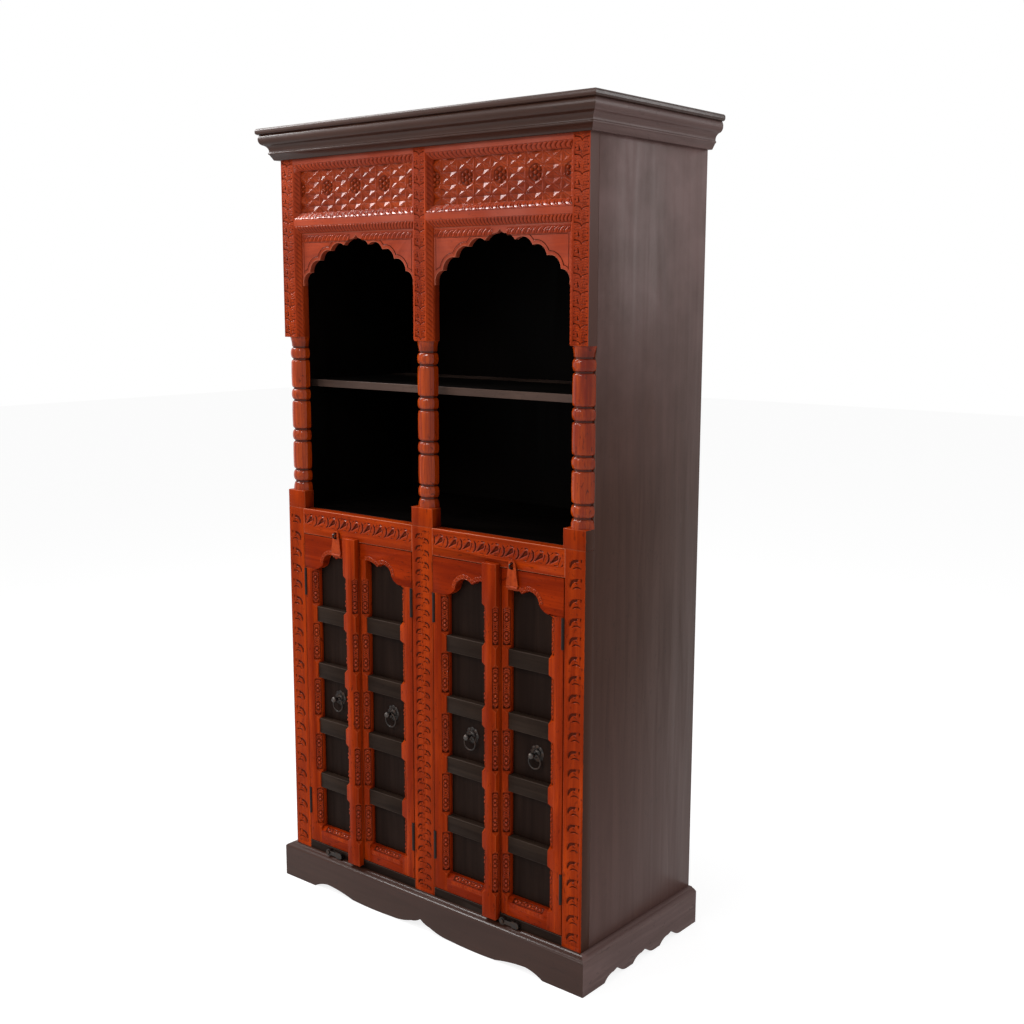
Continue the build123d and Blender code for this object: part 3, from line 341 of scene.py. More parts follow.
def swept_bead(name: str, points: Sequence[Vector], radius: float) -> bmesh.types.BMesh:
    """Return a thin round bead along a line of points.

    Args:
        name: The name of the line.
        points: The line's points, in metres.
        radius: The bead's radius, in millimetres.

    Returns:
        The bead as a bmesh.
    """
    curve = bpy.data.curves.new(name, "CURVE")
    curve.dimensions = "3D"
    curve.bevel_depth = radius * MM
    curve.bevel_resolution = 1
    curve.use_fill_caps = True
    spline = curve.splines.new("POLY")
    spline.points.add(len(points) - 1)
    for knot, place in zip(spline.points, points):
        knot.co = (*place, 1.0)
    holder = bpy.data.objects.new(name, curve)
    bpy.context.scene.collection.objects.link(holder)
    bpy.context.view_layer.update()
    mesh = bpy.data.meshes.new_from_object(holder)
    bm = fresh()
    bm.from_mesh(mesh)
    bpy.data.objects.remove(holder)
    bpy.data.curves.remove(curve)
    bpy.data.meshes.remove(mesh)
    seal(bm)
    return bm


def turned(profile: Sequence[Point], steps: int) -> bmesh.types.BMesh:
    """Return a closed turning about the Z axis.

    Args:
        profile: (radius, height) points in millimetres, from one pole to the other.
        steps: How many steps go round.

    Returns:
        The turning as a bmesh, in metres.
    """
    bm = fresh()
    verts = [bm.verts.new((radius * MM, 0.0, height * MM)) for radius, height in profile]
    for pair in zip(verts, verts[1:]):
        bm.edges.new(pair)
    spin_round(bm, (0, 0, 1), steps)
    return bm


# ---------------------------------------------------------------- finishes
class Grain(Enum):
    """Which way the timber's grain runs, as the stretch of its pattern."""

    UPRIGHT = (1.0, 1.0, 0.06)
    LEVEL = (0.06, 1.0, 1.0)
    DEPTH = (1.0, 0.06, 1.0)

    def streaked(self) -> Tuple[float, ...]:
        """Return the stretch of the fine streaks, drawn out further along the grain."""
        return tuple(part if part == 1.0 else part * STREAK_STRETCH for part in self.value)

    def at_least(self, least: float) -> Tuple[float, ...]:
        """Return the stretch with no part of it below the least."""
        return tuple(max(part, least) for part in self.value)


class NodeSheet:
    """Lays nodes on one node tree."""

    def __init__(self, tree: bpy.types.NodeTree) -> None:
        """Keep the tree that the nodes are laid on."""
        self.tree = tree

    def add(self, kind: str, inputs: Optional[dict] = None, **settings: object) -> bpy.types.Node:
        """Add a node.

        Args:
            kind: The node's type.
            inputs: Values or sockets by input name or number.
            settings: The node's own properties.

        Returns:
            The node.
        """
        node = self.tree.nodes.new(kind)
        for key, value in settings.items():
            setattr(node, key, value)
        for key, value in (inputs or {}).items():
            self.feed(node.inputs[key], value)
        return node

    def feed(self, socket: Socket, value: object) -> None:
        """Link a socket, or set its value.

        Args:
            socket: The input.
            value: Another socket, a number or a tuple.
        """
        if isinstance(value, Socket):
            self.tree.links.new(value, socket)
        elif socket.type == "RGBA" and len(value) == 3:
            socket.default_value = (*value, 1.0)
        else:
            socket.default_value = value

    def sum(self, first: object, second: object, kind: str = "ADD") -> Socket:
        """Return the result of a two-value sum of the given kind."""
        return self.add("ShaderNodeMath", {0: first, 1: second}, operation=kind).outputs[0]

    def seen_directly(self) -> Socket:
        """Return 1 for the camera's rays, also where a mirror or glass sends them on.

        Returns:
            The value's socket.
        """
        path = self.add("ShaderNodeLightPath")
        seen = path.outputs["Is Camera Ray"]
        for ray in ("Is Glossy Ray", "Is Transmission Ray"):
            seen = self.sum(seen, path.outputs[ray], "MAXIMUM")
        return seen


class Sketch(NodeSheet):
    """Lays the shader nodes of one material."""

    def __init__(self, name: str) -> None:
        """Start a material with its Principled shader.

        Args:
            name: The material's name.
        """
        self.made = bpy.data.materials.new(name)
        self.made.use_nodes = True
        super().__init__(self.made.node_tree)
        self.shader = self.tree.nodes["Principled BSDF"]
        self.place = self.add("ShaderNodeTexCoord").outputs["Object"]

    def noise(
        self, scale: float, stretch: Sequence[float] = (1, 1, 1), detail: float = 4.0, twist: float = 0.0
    ) -> Socket:
        """Return the value of a stretched noise on the object's own coordinates.

        Args:
            scale: Features per metre.
            stretch: How the pattern is drawn out along each axis.
            detail: Octaves.
            twist: Distortion.

        Returns:
            The noise's value socket.
        """
        laid = self.add("ShaderNodeMapping", {"Vector": self.place, "Scale": tuple(stretch)})
        inputs = {"Vector": laid.outputs[0], "Scale": scale, "Detail": detail, "Distortion": twist}
        return self.add("ShaderNodeTexNoise", inputs).outputs["Fac"]

    def spread(self, value: Socket, low: Span, high: Span) -> Socket:
        """Return a value moved from the range low to the range high, held at its ends."""
        inputs = {0: value, 1: low[0], 2: low[1], 3: high[0], 4: high[1]}
        return self.add("ShaderNodeMapRange", inputs).outputs[0]

    def mix(self, share: object, first: object, second: object) -> Socket:
        """Return one colour mixed over another.

        Args:
            share: How much of the second colour shows.
            first: The colour below.
            second: The colour above.

        Returns:
            The mixed colour's socket.
        """
        node = self.add("ShaderNodeMix", data_type="RGBA", blend_type="MIX")
        for index, value in ((0, share), (6, first), (7, second)):
            self.feed(node.inputs[index], value)
        return node.outputs[2]

    def mark(self, name: str) -> Socket:
        """Return a value that the mesh carries under a name."""
        return self.add("ShaderNodeAttribute", attribute_name=name).outputs["Fac"]

    def axis(self, letter: str) -> Socket:
        """Return one of the object's coordinates."""
        return self.add("ShaderNodeSeparateXYZ", {0: self.place}).outputs[letter]

    def bump(self, height: Socket, depth: float, under: object = None) -> Socket:
        """Return a normal pushed by a height, laid over another normal.

        Args:
            height: The height's socket.
            depth: The depth of the bump, in millimetres.
            under: The normal below it.

        Returns:
            The normal's socket.
        """
        inputs = {"Height": height, "Distance": depth * MM, "Strength": 1.0}
        if under is not None:
            inputs["Normal"] = under
        return self.add("ShaderNodeBump", inputs).outputs[0]


@dataclass(frozen=True)
class Finish:
    """What a piece's surface is made of."""

    name: str
    slot: str

    def material(self) -> bpy.types.Material:
        """Return the finish's material, made on first use."""
        known = bpy.data.materials.get(self.name)
        return known if known else self.lay()

    def lay(self) -> bpy.types.Material:
        """Lay the finish's nodes."""
        raise NotImplementedError


@dataclass(frozen=True)
class StainedWood(Finish):
    """Stained and waxed timber: grain, streaks, mottling, dark wax and painted shade in recesses, worn edges
    with a painted highlight, and where set painted sheen, painted light and painted shade by place.
    """

    light: Colour = (0.42, 0.046, 0.0030)
    dark: Colour = (0.21, 0.017, 0.0012)
    # Colour of dents, of dark wax, and of painted shade in creases and deep cuts.
    waxed_and_shaded: Colour = (0.030, 0.0045, 0.0016)
    # Colour of worn edges, lighter also as a painted highlight along eased edges.
    worn_edge_highlight: Colour = (0.56, 0.16, 0.06)
    grain: Grain = Grain.UPRIGHT
    rough: Span = (0.30, 0.46)
    coat: float = 0.05
    coat_rough: float = 0.12
    hand_depth: float = 0.30
    edge_highlight_share: float = 0.5
    paint: Optional[Colour] = None
    paint_from: float = 0.4649
    # Painted sheen: towards the top, the paint turns towards this colour.
    paint_sheen: Colour = (0.19, 0.115, 0.105)
    # Painted shade: along this axis, faces nearer the middle than the span take the near-black shade colour.
    shaded: Optional[Tuple[str, float, float]] = None
    shade: Colour = (0.002, 0.0014, 0.0012)
    speckle: float = 0.6
    gloss: float = 0.025
    streaks: float = 0.55
    # Painted sheen: from the first level up to the second, the colour turns towards the sheen colour, up to
    # the given share.
    rust_and_sheen: Tuple[float, float, float] = (1.3, 1.8, 0.0)
    sheen_colour: Colour = (0.36, 0.10, 0.07)
    polish: float = 0.0
    # Painted light: share of the sheen colour at the foot, lighter towards the floor.
    foot_light: float = 0.0
    # Painted light: faces in front of this Y, the side panel's front edge, take a lighter colour that lifts
    # their shade.
    lit_front_edge: Optional[float] = None
    lit_edge_colour: Colour = (0.12, 0.068, 0.054)
    figure_scale: float = 42.0
    streak_scale: float = 430.0
    mottle_scale: float = 6.5
    dent_scale: float = 120.0
    smudge_scale: float = 16.0
    cloud_scale: float = 9.0
    ragged_scale: float = 90.0
    wave_scale: float = 30.0
    ragged_reach: float = 0.0012
    wax_rough: float = 0.22
    streak_depth: float = 0.06

    def lay(self) -> bpy.types.Material:
        """Lay the nodes of the stained timber.

        Returns:
            The material.
        """
        s = Sketch(self.name)
        figure = s.noise(self.figure_scale, self.grain.value, 5.0, 0.9)
        streak = s.noise(self.streak_scale, self.grain.streaked(), 3.0)
        # Dark wax and painted shade: creases and deep cuts of carvings darken towards the waxed colour.
        wax = s.mark(WAX_SHADE)
        colour = s.mix(wax, self.painted_light(s, self.timber(s, figure, streak)), self.waxed_and_shaded)
        coat = self.coat
        if self.polish:
            coat = s.sum(s.sum(s.mark(POLISH), self.polish, "MULTIPLY"), self.coat)
        if self.paint:
            colour, coat = self.painted(s, colour)
        # Painted shade on the inner faces.
        if self.shaded:
            letter, low, high = self.shaded
            inner = s.spread(s.sum(s.axis(letter), 0.0, "ABSOLUTE"), (low, high), (1.0, 0.0))
            colour = s.mix(inner, colour, self.shade)
        s.feed(s.shader.inputs["Base Color"], colour)
        waxed_and_shaded = s.spread(wax, (0.0, 1.0), (0.0, self.wax_rough))
        s.feed(s.shader.inputs["Roughness"], s.sum(s.spread(figure, (0.3, 0.7), self.rough), waxed_and_shaded))
        wavy = s.bump(s.noise(self.wave_scale, self.grain.at_least(0.35), 2.0), self.hand_depth)
        s.feed(s.shader.inputs["Normal"], s.bump(streak, self.streak_depth, wavy))
        s.feed(s.shader.inputs["Coat Weight"], coat)
        s.shader.inputs["Specular IOR Level"].default_value = self.gloss
        s.shader.inputs["Coat Roughness"].default_value = self.coat_rough
        return s.made

    def timber(self, s: Sketch, figure: Socket, streak: Socket) -> Socket:
        """Return the colour of the stained timber with its worn edges, lightened also as a painted highlight.

        Args:
            s: The material's sketch.
            figure: The broad figure of the grain.
            streak: Its fine streaks.

        Returns:
            The colour's socket.
        """
        colour = s.mix(s.spread(figure, (0.33, 0.68), (0.0, 1.0)), self.light, self.dark)
        colour = s.mix(s.spread(streak, (0.42, 0.72), (0.0, self.streaks)), colour, self.dark)
        mottle = s.noise(self.mottle_scale, detail=3.0)
        colour = s.mix(s.spread(mottle, (0.35, 0.75), (0.0, 0.4)), colour, self.dark)
        dents = s.noise(self.dent_scale, self.grain.at_least(0.4), 3.0, 1.5)
        colour = s.mix(s.spread(dents, (0.62, 0.70), (0.0, self.speckle)), colour, self.waxed_and_shaded)
        smudge = s.noise(self.smudge_scale, self.grain.at_least(0.3), 6.0)
        colour = s.mix(s.spread(smudge, (0.48, 0.68), (0.0, 0.62)), colour, self.dark)
        # Worn edges with a painted highlight: eased edges mix towards the lighter edge colour.
        return s.mix(s.sum(s.mark(WEAR_AND_HIGHLIGHT), self.edge_highlight_share, "MULTIPLY"), colour, self.worn_edge_highlight)

    def painted_light(self, s: Sketch, colour: Socket) -> Socket:
        """Return a colour under its painted sheen, its painted light at the foot and its painted light on the
        front edge, where it has them.

        Args:
            s: The material's sketch.
            colour: The colour below.

        Returns:
            The colour's socket.
        """
        # Painted sheen, lighter towards the top in clouds; then painted light, lighter towards the foot.
        if self.rust_and_sheen[2]:
            rise = s.spread(s.axis("Z"), self.rust_and_sheen[:2], (0.0, self.rust_and_sheen[2]))
            cloud = s.spread(s.noise(self.cloud_scale, detail=5.0), (0.35, 0.65), (0.45, 1.0))
            colour = s.mix(s.sum(rise, cloud, "MULTIPLY"), colour, self.sheen_colour)
            if self.foot_light:
                foot = s.spread(s.axis("Z"), (0.7, 0.1), (0.0, self.foot_light))
                colour = s.mix(foot, colour, self.sheen_colour)
        # Painted light on the side panel's front edge, lifting the shade there.
        if self.lit_front_edge:
            edge = s.sum(s.axis("Y"), self.lit_front_edge, "LESS_THAN")
            colour = s.mix(edge, colour, self.lit_edge_colour)
        return colour

    def painted(self, s: Sketch, colour: Socket) -> Tuple[Socket, Socket]:
        """Return the colour and the coat of timber that is painted beyond a ragged line, the paint with a
        painted sheen towards the top.

        Args:
            s: The material's sketch.
            colour: The bare timber's colour.

        Returns:
            The sockets of the colour and of the coat.
        """
        across = s.sum(s.axis("X"), 0.0, "ABSOLUTE")
        ragged = s.spread(s.noise(self.ragged_scale), (0.0, 1.0), (-self.ragged_reach, self.ragged_reach))
        # Painted sheen: the paint lightens from 1.0 m to 1.85 m.
        sheen_rise = s.spread(s.axis("Z"), (1.0, 1.85), (0.0, 0.6))
        paint = s.mix(sheen_rise, self.paint, self.paint_sheen)
        beyond = s.sum(s.sum(ragged, across), self.paint_from, "GREATER_THAN")
        return s.mix(beyond, colour, paint), s.spread(beyond, (0.0, 1.0), (self.coat, 0.0))


@dataclass(frozen=True)
class ForgedIron(Finish):
    """Blackened forged iron: hammered skin, brown patches of rust, bright worn edges."""

    base: Colour = (0.030, 0.026, 0.024)
    # Colour of the brown rust.
    rust_and_sheen: Colour = (0.060, 0.030, 0.018)
    bright: Colour = (0.20, 0.18, 0.165)
    rough: Span = (0.26, 0.5)
    metal: float = 0.85
    gloss: float = 0.5
    stained_above: Optional[float] = None
    stain: Colour = (0.32, 0.040, 0.007)
    patch_scale: float = 120.0
    fine_scale: float = 700.0
    hammer_scale: float = 220.0
    hammer_depth: float = 0.25
    fine_depth: float = 0.04

    def lay(self) -> bpy.types.Material:
        """Lay the nodes of the iron.

        Returns:
            The material.
        """
        s = Sketch(self.name)
        patch = s.noise(self.patch_scale, detail=4.0)
        fine = s.noise(self.fine_scale, detail=3.0)
        colour = s.mix(s.spread(patch, (0.45, 0.7), (0.0, 0.7)), self.base, self.rust_and_sheen)
        colour = s.mix(s.sum(s.mark(WEAR_AND_HIGHLIGHT), 0.5, "MULTIPLY"), colour, self.bright)
        if self.stained_above:
            above = s.sum(s.axis("Z"), self.stained_above, "GREATER_THAN")
            colour = s.mix(above, colour, self.stain)
        s.feed(s.shader.inputs["Base Color"], colour)
        s.feed(s.shader.inputs["Roughness"], s.spread(patch, (0.3, 0.7), self.rough))
        hammered = s.bump(s.noise(self.hammer_scale, detail=1.0), self.hammer_depth)
        s.feed(s.shader.inputs["Normal"], s.bump(fine, self.fine_depth, hammered))
        s.shader.inputs["Metallic"].default_value = self.metal
        s.shader.inputs["Specular IOR Level"].default_value = self.gloss
        return s.made


# Painted sheen over the upper frame.
UPPER_SHEEN = (1.25, 1.75, 0.2)
CARVED = StainedWood(
    "red_brown_upright",
    "carved_wood",
    paint=(0.062, 0.028, 0.0195),
    rust_and_sheen=UPPER_SHEEN,
    waxed_and_shaded=(0.050, 0.0075, 0.0028),
    edge_highlight_share=0.15,
    light=(0.415, 0.045, 0.0026),
    dark=(0.19, 0.015, 0.0010),
    coat=0.03,
)
CARVED_LEVEL = StainedWood(
    "red_brown_level",
    "carved_wood",
    grain=Grain.LEVEL,
    # A stronger painted sheen on the level members of the upper frame.
    rust_and_sheen=(1.25, 1.75, 0.65),
    # A paler edge colour here paints the highlight along the rail tops.
    worn_edge_highlight=(0.66, 0.27, 0.16),
)
LATTICE_WOOD = StainedWood(
    "red_brown_lattice",
    "carved_wood",
    grain=Grain.LEVEL,
    coat=0.17,
    coat_rough=0.09,
    gloss=0.03,
    light=(0.39, 0.052, 0.0070),
    dark=(0.19, 0.019, 0.0030),
    hand_depth=0.12,
)
SCROLLED = StainedWood(
    "red_brown_scrolled",
    "carved_wood",
    grain=Grain.LEVEL,
    coat=0.5,
    coat_rough=0.09,
    gloss=0.03,
    hand_depth=0.12,
)
MOULDED = StainedWood("red_brown_moulded", "carved_wood", grain=Grain.LEVEL, rust_and_sheen=UPPER_SHEEN, coat=0.16)
TURNED = StainedWood(
    "red_brown_turned",
    "carved_wood",
    coat=0.40,
    coat_rough=0.05,
    hand_depth=0.10,
    rough=(0.24, 0.38),
    light=(0.50, 0.066, 0.0014),
    dark=(0.18, 0.012, 0.0007),
    streaks=0.75,
)
HEAD_CARVED = StainedWood(
    "head_rail_carved",
    "carved_wood",
    grain=Grain.LEVEL,
    coat=0.03,
    coat_rough=0.10,
    polish=0.5,
    light=(0.40, 0.042, 0.0026),
    dark=(0.20, 0.015, 0.0010),
)
DOOR_WOOD = StainedWood(
    "door_upright",
    "carved_wood",
    light=(0.415, 0.043, 0.0022),
    dark=(0.19, 0.014, 0.0009),
    coat=0.02,
    edge_highlight_share=0.12,
)
DOOR_LEVEL = StainedWood(
    "door_level",
    "carved_wood",
    grain=Grain.LEVEL,
    light=(0.365, 0.031, 0.0013),
    dark=(0.155, 0.010, 0.0006),
    coat=0.02,
    edge_highlight_share=0.25,
)
DOOR_CARVED = StainedWood(
    "door_carved",
    "carved_wood",
    light=(0.44, 0.048, 0.0030),
    dark=(0.24, 0.019, 0.0012),
    coat=0.02,
    coat_rough=0.10,
    polish=0.5,
)
# Dark wax and painted shade: a near-black bead stands for the cut of an incised line.
INCISED_SHADE_FINISH = StainedWood(
    "incised_wax_and_shade",
    "carved_wood",
    light=(0.04, 0.008, 0.004),
    dark=(0.02, 0.005, 0.002),
    coat=0.0,
    edge_highlight_share=0.0,
)
DARK_STAIN = StainedWood(
    "dark_stain",
    "dark_stain",
    light=(0.070, 0.030, 0.0205),
    dark=(0.048, 0.0205, 0.0135),
    streaks=0.3,
    speckle=0.3,
    waxed_and_shaded=(0.008, 0.005, 0.004),
    worn_edge_highlight=(0.17, 0.11, 0.09),
    coat=0.03,
    coat_rough=0.2,
    rough=(0.34, 0.48),
    edge_highlight_share=0.3,
    gloss=0.09,
    # Colour of the painted sheen on the dark stain.
    sheen_colour=(0.195, 0.115, 0.108),
)
CORNICE_FINISH = replace(
    DARK_STAIN,
    name="cornice_stain",
    grain=Grain.LEVEL,
    light=(0.050, 0.0195, 0.0125),
    dark=(0.034, 0.0130, 0.0080),
    coat=0.22,
    coat_rough=0.13,
)
# Painted light: the side-facing returns take a lighter, greyer copy of the cornice stain.
LIT_RETURN_FINISH = replace(
    DARK_STAIN,
    name="lit_return_stain",
    grain=Grain.DEPTH,
    light=(0.150, 0.088, 0.080),
    dark=(0.105, 0.060, 0.054),
)
SIDE_FINISH = replace(
    DARK_STAIN,
    name="side_stain",
    slot="side_paint",
    # Painted shade on the inner face, painted sheen towards the top, painted light on the front edge and at
    # the foot.
    shaded=("X", 0.4456, 0.4464),
    rust_and_sheen=(1.05, 1.85, 0.9),
    lit_front_edge=-0.1685,
    foot_light=0.3,
)
THRESHOLD_FINISH = replace(
    DARK_STAIN,
    name="threshold_stain",
    grain=Grain.LEVEL,
    light=(0.024, 0.014, 0.010),
    dark=(0.014, 0.008, 0.006),
    gloss=0.03,
    coat=0.0,
)
SHELF_FINISH = replace(
    DARK_STAIN,
    name="shelf_stain",
    slot="shelf_wood",
    grain=Grain.LEVEL,
    # Painted shade behind the shelf's front edge.
    shaded=("Y", 0.1338, 0.1346),
    light=(0.090, 0.055, 0.042),
    dark=(0.050, 0.030, 0.024),
)
# Painted shade: the boards inside the case are near black.
INNER_SHADE_FINISH = replace(
    DARK_STAIN,
    name="inner_painted_shade",
    slot="shelf_wood",
    grain=Grain.LEVEL,
    light=(0.0024, 0.0016, 0.0013),
    dark=(0.0014, 0.001, 0.0009),
    coat=0.0,
    gloss=0.02,
)
BACK_FINISH = replace(
    DARK_STAIN,
    name="back_stain",
    slot="back_board",
    # Painted shade on the back panel's inner face.
    shaded=("Y", 0.2400, 0.2410),
    light=(0.045, 0.028, 0.021),
    dark=(0.026, 0.016, 0.012),
    coat=0.0,
    gloss=0.02,
)
PANEL_FINISH = StainedWood(
    "panel_stain",
    "panel_wood",
    light=(0.0195, 0.0090, 0.0055),
    dark=(0.0090, 0.0040, 0.0025),
    waxed_and_shaded=(0.005, 0.003, 0.0025),
    worn_edge_highlight=(0.050, 0.034, 0.026),
    coat=0.0,
    coat_rough=0.3,
    rough=(0.46, 0.62),
    edge_highlight_share=0.7,
    gloss=0.05,
    speckle=0.3,
)
CROSS_FINISH = replace(
    PANEL_FINISH,
    name="cross_rail_stain",
    grain=Grain.LEVEL,
    light=(0.030, 0.018, 0.012),
    dark=(0.014, 0.008, 0.0055),
)
IRON = ForgedIron("blackened_iron", "black_iron")
STAINED_IRON = ForgedIron(
    "red_stained_iron",
    "black_iron",
    base=(0.36, 0.042, 0.004),
    rust_and_sheen=(0.20, 0.018, 0.002),
    bright=(0.46, 0.12, 0.04),
    rough=(0.32, 0.5),
    metal=0.0,
    gloss=0.12,
)
LEAF_IRON = ForgedIron(
    "leaf_iron",
    "black_iron",
    base=(0.014, 0.010, 0.009),
    rust_and_sheen=(0.035, 0.014, 0.008),
    rough=(0.5, 0.7),
    metal=0.0,
    gloss=0.15,
    stained_above=0.86,
)


# ---------------------------------------------------------------- carving patterns
def ridge(distance: np.ndarray, width: float) -> np.ndarray:
    """Return 1 on a line, falling smoothly to 0 at a width from it."""
    return np.exp(-((distance / width) ** 2))


def dome(distance: np.ndarray, radius: float) -> np.ndarray:
    """Return the height of a round boss of unit height."""
    return np.sqrt(np.clip(1.0 - (distance / radius) ** 2, 0.0, 1.0))


def step_up(value: np.ndarray, width: float) -> np.ndarray:
    """Return a smooth step from 0 to 1 over a width."""
    share = np.clip(value / width, 0.0, 1.0)
    return share * share * (3.0 - 2.0 * share)


def near(value: np.ndarray, pitch: float, at: float = 0.0) -> np.ndarray:
    """Return the signed distance to the nearest of a row of places."""
    return (value - at + pitch / 2) % pitch - pitch / 2


def gouge(s: np.ndarray, t: np.ndarray, a: Span, b: Span, wide: float, thin: float) -> np.ndarray:
    """Return how far places lie inside a straight tapering cut.

    Args:
        s: Places along the band.
        t: Places across it.
        a: The cut's wide end.
        b: The cut's thin end.
        wide: Half of its width at a.
        thin: Half of its width at b.

    Returns:
        Millimetres inside the cut, negative outside.
    """
    ds, dt = b[0] - a[0], b[1] - a[1]
    share = np.clip(((s - a[0]) * ds + (t - a[1]) * dt) / (ds * ds + dt * dt), 0.0, 1.0)
    return wide + (thin - wide) * share - np.hypot(s - a[0] - share * ds, t - a[1] - share * dt)


def sweep(s: np.ndarray, t: np.ndarray, centre: Span, radius: float, turn: Span, half: float) -> np.ndarray:
    """Return how far places lie inside a round sweeping cut, thinner at its ends.

    Args:
        s: Places along the band.
        t: Places across it.
        centre: The arc's centre.
        radius: The arc's radius.
        turn: The arc's first and last angle, in degrees from the band's run.
        half: Half of its width in the middle.

    Returns:
        Millimetres inside the cut, negative outside.
    """
    angle = np.degrees(np.arctan2(t - centre[1], s - centre[0]))
    off = (angle - (turn[0] + turn[1]) / 2 + 180.0) % 360.0 - 180.0
    taper = np.clip(1.0 - (off / ((turn[1] - turn[0]) / 2)) ** 2, 0.0, 1.0)
    off_arc = np.abs(np.hypot(s - centre[0], t - centre[1]) - radius)
    return np.where(taper > 0, half * np.sqrt(taper), -1.0) - off_arc


def cut_down(inside: np.ndarray, depth: float, slope: float = 1.4) -> np.ndarray:
    """Return the height of a cut with sloping walls."""
    return -depth * step_up(inside, slope)


@dataclass(frozen=True)
class WingLeaves:
    """A stem of paired wing-shaped leaves, with drilled eyes on the stem and by the margins."""

    width: float
    pitch: float = 33.6
    depth: float = 2.4
    rise: float = 7.5

    def __call__(self, u: np.ndarray, v: np.ndarray) -> np.ndarray:
        """Return the carved heights.

        Args:
            u: Places across the strip, in millimetres.
            v: Places along it.

        Returns:
            Heights over the strip's face, in millimetres.
        """
        half = self.width / 2
        t = u - half
        a = np.abs(t) * (18.75 / half)
        hand = 0.9 * np.sin(v * 0.071) + np.where(t > 0, 1.2, -0.6)
        arc = np.sqrt(np.clip(1.0 - np.clip((18.6 - a) / 17.4, 0.0, 1.0) ** 2, 0.0, 1.0))
        above = (v + hand - self.rise * arc) % self.pitch
        dish = -self.depth * 0.8 * (1.0 - above / self.pitch) ** 3
        groove = 0.75 + 0.055 * a - np.minimum(above, self.pitch - above)
        s = near(v, self.pitch, self.rise / 2 + self.pitch / 2)
        wedge = gouge(s, t, (-4.5, -6.6), (5.5, -8.0), 2.9, 0.8)
        stem = gouge(s, t, (-9.0, 0.0), (9.0, 1.0), 0.9, 0.4)
        inner_leaf = gouge(s, t, (-6.5, 3.2), (7.5, 8.6), 0.7, 0.5)
        outer_leaf = gouge(s, t, (-6.0, 11.0), (5.0, 12.6), 0.6, 0.4)
        vein = np.minimum(1.0 - np.abs(above - 10.5 + 0.25 * a), np.minimum(a - 2.5, 14.0 - a))
        echo = np.minimum(0.75 - np.abs(near(above + 0.35 * a, 5.2, 2.6)), np.minimum(above - 4.0, 15.5 - a))
        eye = 2.1 - np.hypot(s * 0.8, a - 15.9)
        nick = 1.5 - np.hypot(near(s, self.pitch, 8.0), a - 16.6)
        cuts = [
            dish,
            dish + cut_down(groove, self.depth * 0.8, 1.2),
            dish + cut_down(vein, self.depth * 0.45, 1.0),
            dish + cut_down(echo, self.depth * 0.3, 0.75),
            cut_down(wedge, self.depth, 1.7),
            dish + cut_down(stem, self.depth * 0.3, 1.0),
            dish + cut_down(np.maximum(inner_leaf, outer_leaf), self.depth * 0.6, 0.9),
            cut_down(eye, self.depth * 0.9, 1.5),
            cut_down(nick, self.depth * 0.5, 1.0),
        ]
        return np.maximum(np.minimum.reduce(cuts), -2.5)


@dataclass(frozen=True)
class HookLeaves:
    """Running hooked leaves: a deep tailed wedge, a round outline and small edge nicks."""

    width: float
    pitch: float = 42.0
    depth: float = 2.45

    def __call__(self, u: np.ndarray, v: np.ndarray) -> np.ndarray:
        """Return the carved heights.

        Args:
            u: Places across the strip, in millimetres.
            v: Places along it.

        Returns:
            Heights over the strip's face, in millimetres.
        """
        t = u - self.width / 2
        s = near(v, self.pitch, self.pitch / 2) + 0.5 * np.sin(v * 0.05)
        nearest = near(s, self.pitch, self.pitch / 2) + self.pitch / 2
        cuts = [
            cut_down(gouge(s, t, (1.5, 2.5), (-15.0, -10.5), 6.6, 1.9), self.depth, 2.6),
            cut_down(gouge(s, t, (1.5, 3.5), (6.0, 8.5), 4.0, 1.4), self.depth * 0.85, 1.7),
            cut_down(gouge(nearest, t, (19.0, 13.5), (24.0, 6.0), 0.9, 1.9), self.depth * 0.8, 1.5),
            cut_down(gouge(s, t, (12.5, 5.0), (8.0, -9.5), 2.0, 0.9), self.depth * 0.7, 1.4),
            cut_down(gouge(s, t, (0.5, 13.6), (9.0, 12.2), 2.0, 0.9), self.depth * 0.85, 1.2),
            cut_down(gouge(s, t, (-7.5, 13.0), (-13.5, 8.0), 1.4, 0.7), self.depth * 0.6, 1.1),
            cut_down(gouge(s, t, (-4.0, -13.4), (8.0, -12.6), 1.2, 0.7), self.depth * 0.6, 1.1),
        ]
        for copy in (s, s + self.pitch):
            outline = sweep(copy, t, (7.0, 0.0), 16.0, (-66.0, 50.0), 2.9)
            cuts.append(cut_down(outline, self.depth * 0.95, 2.0))
        return np.minimum.reduce(cuts)


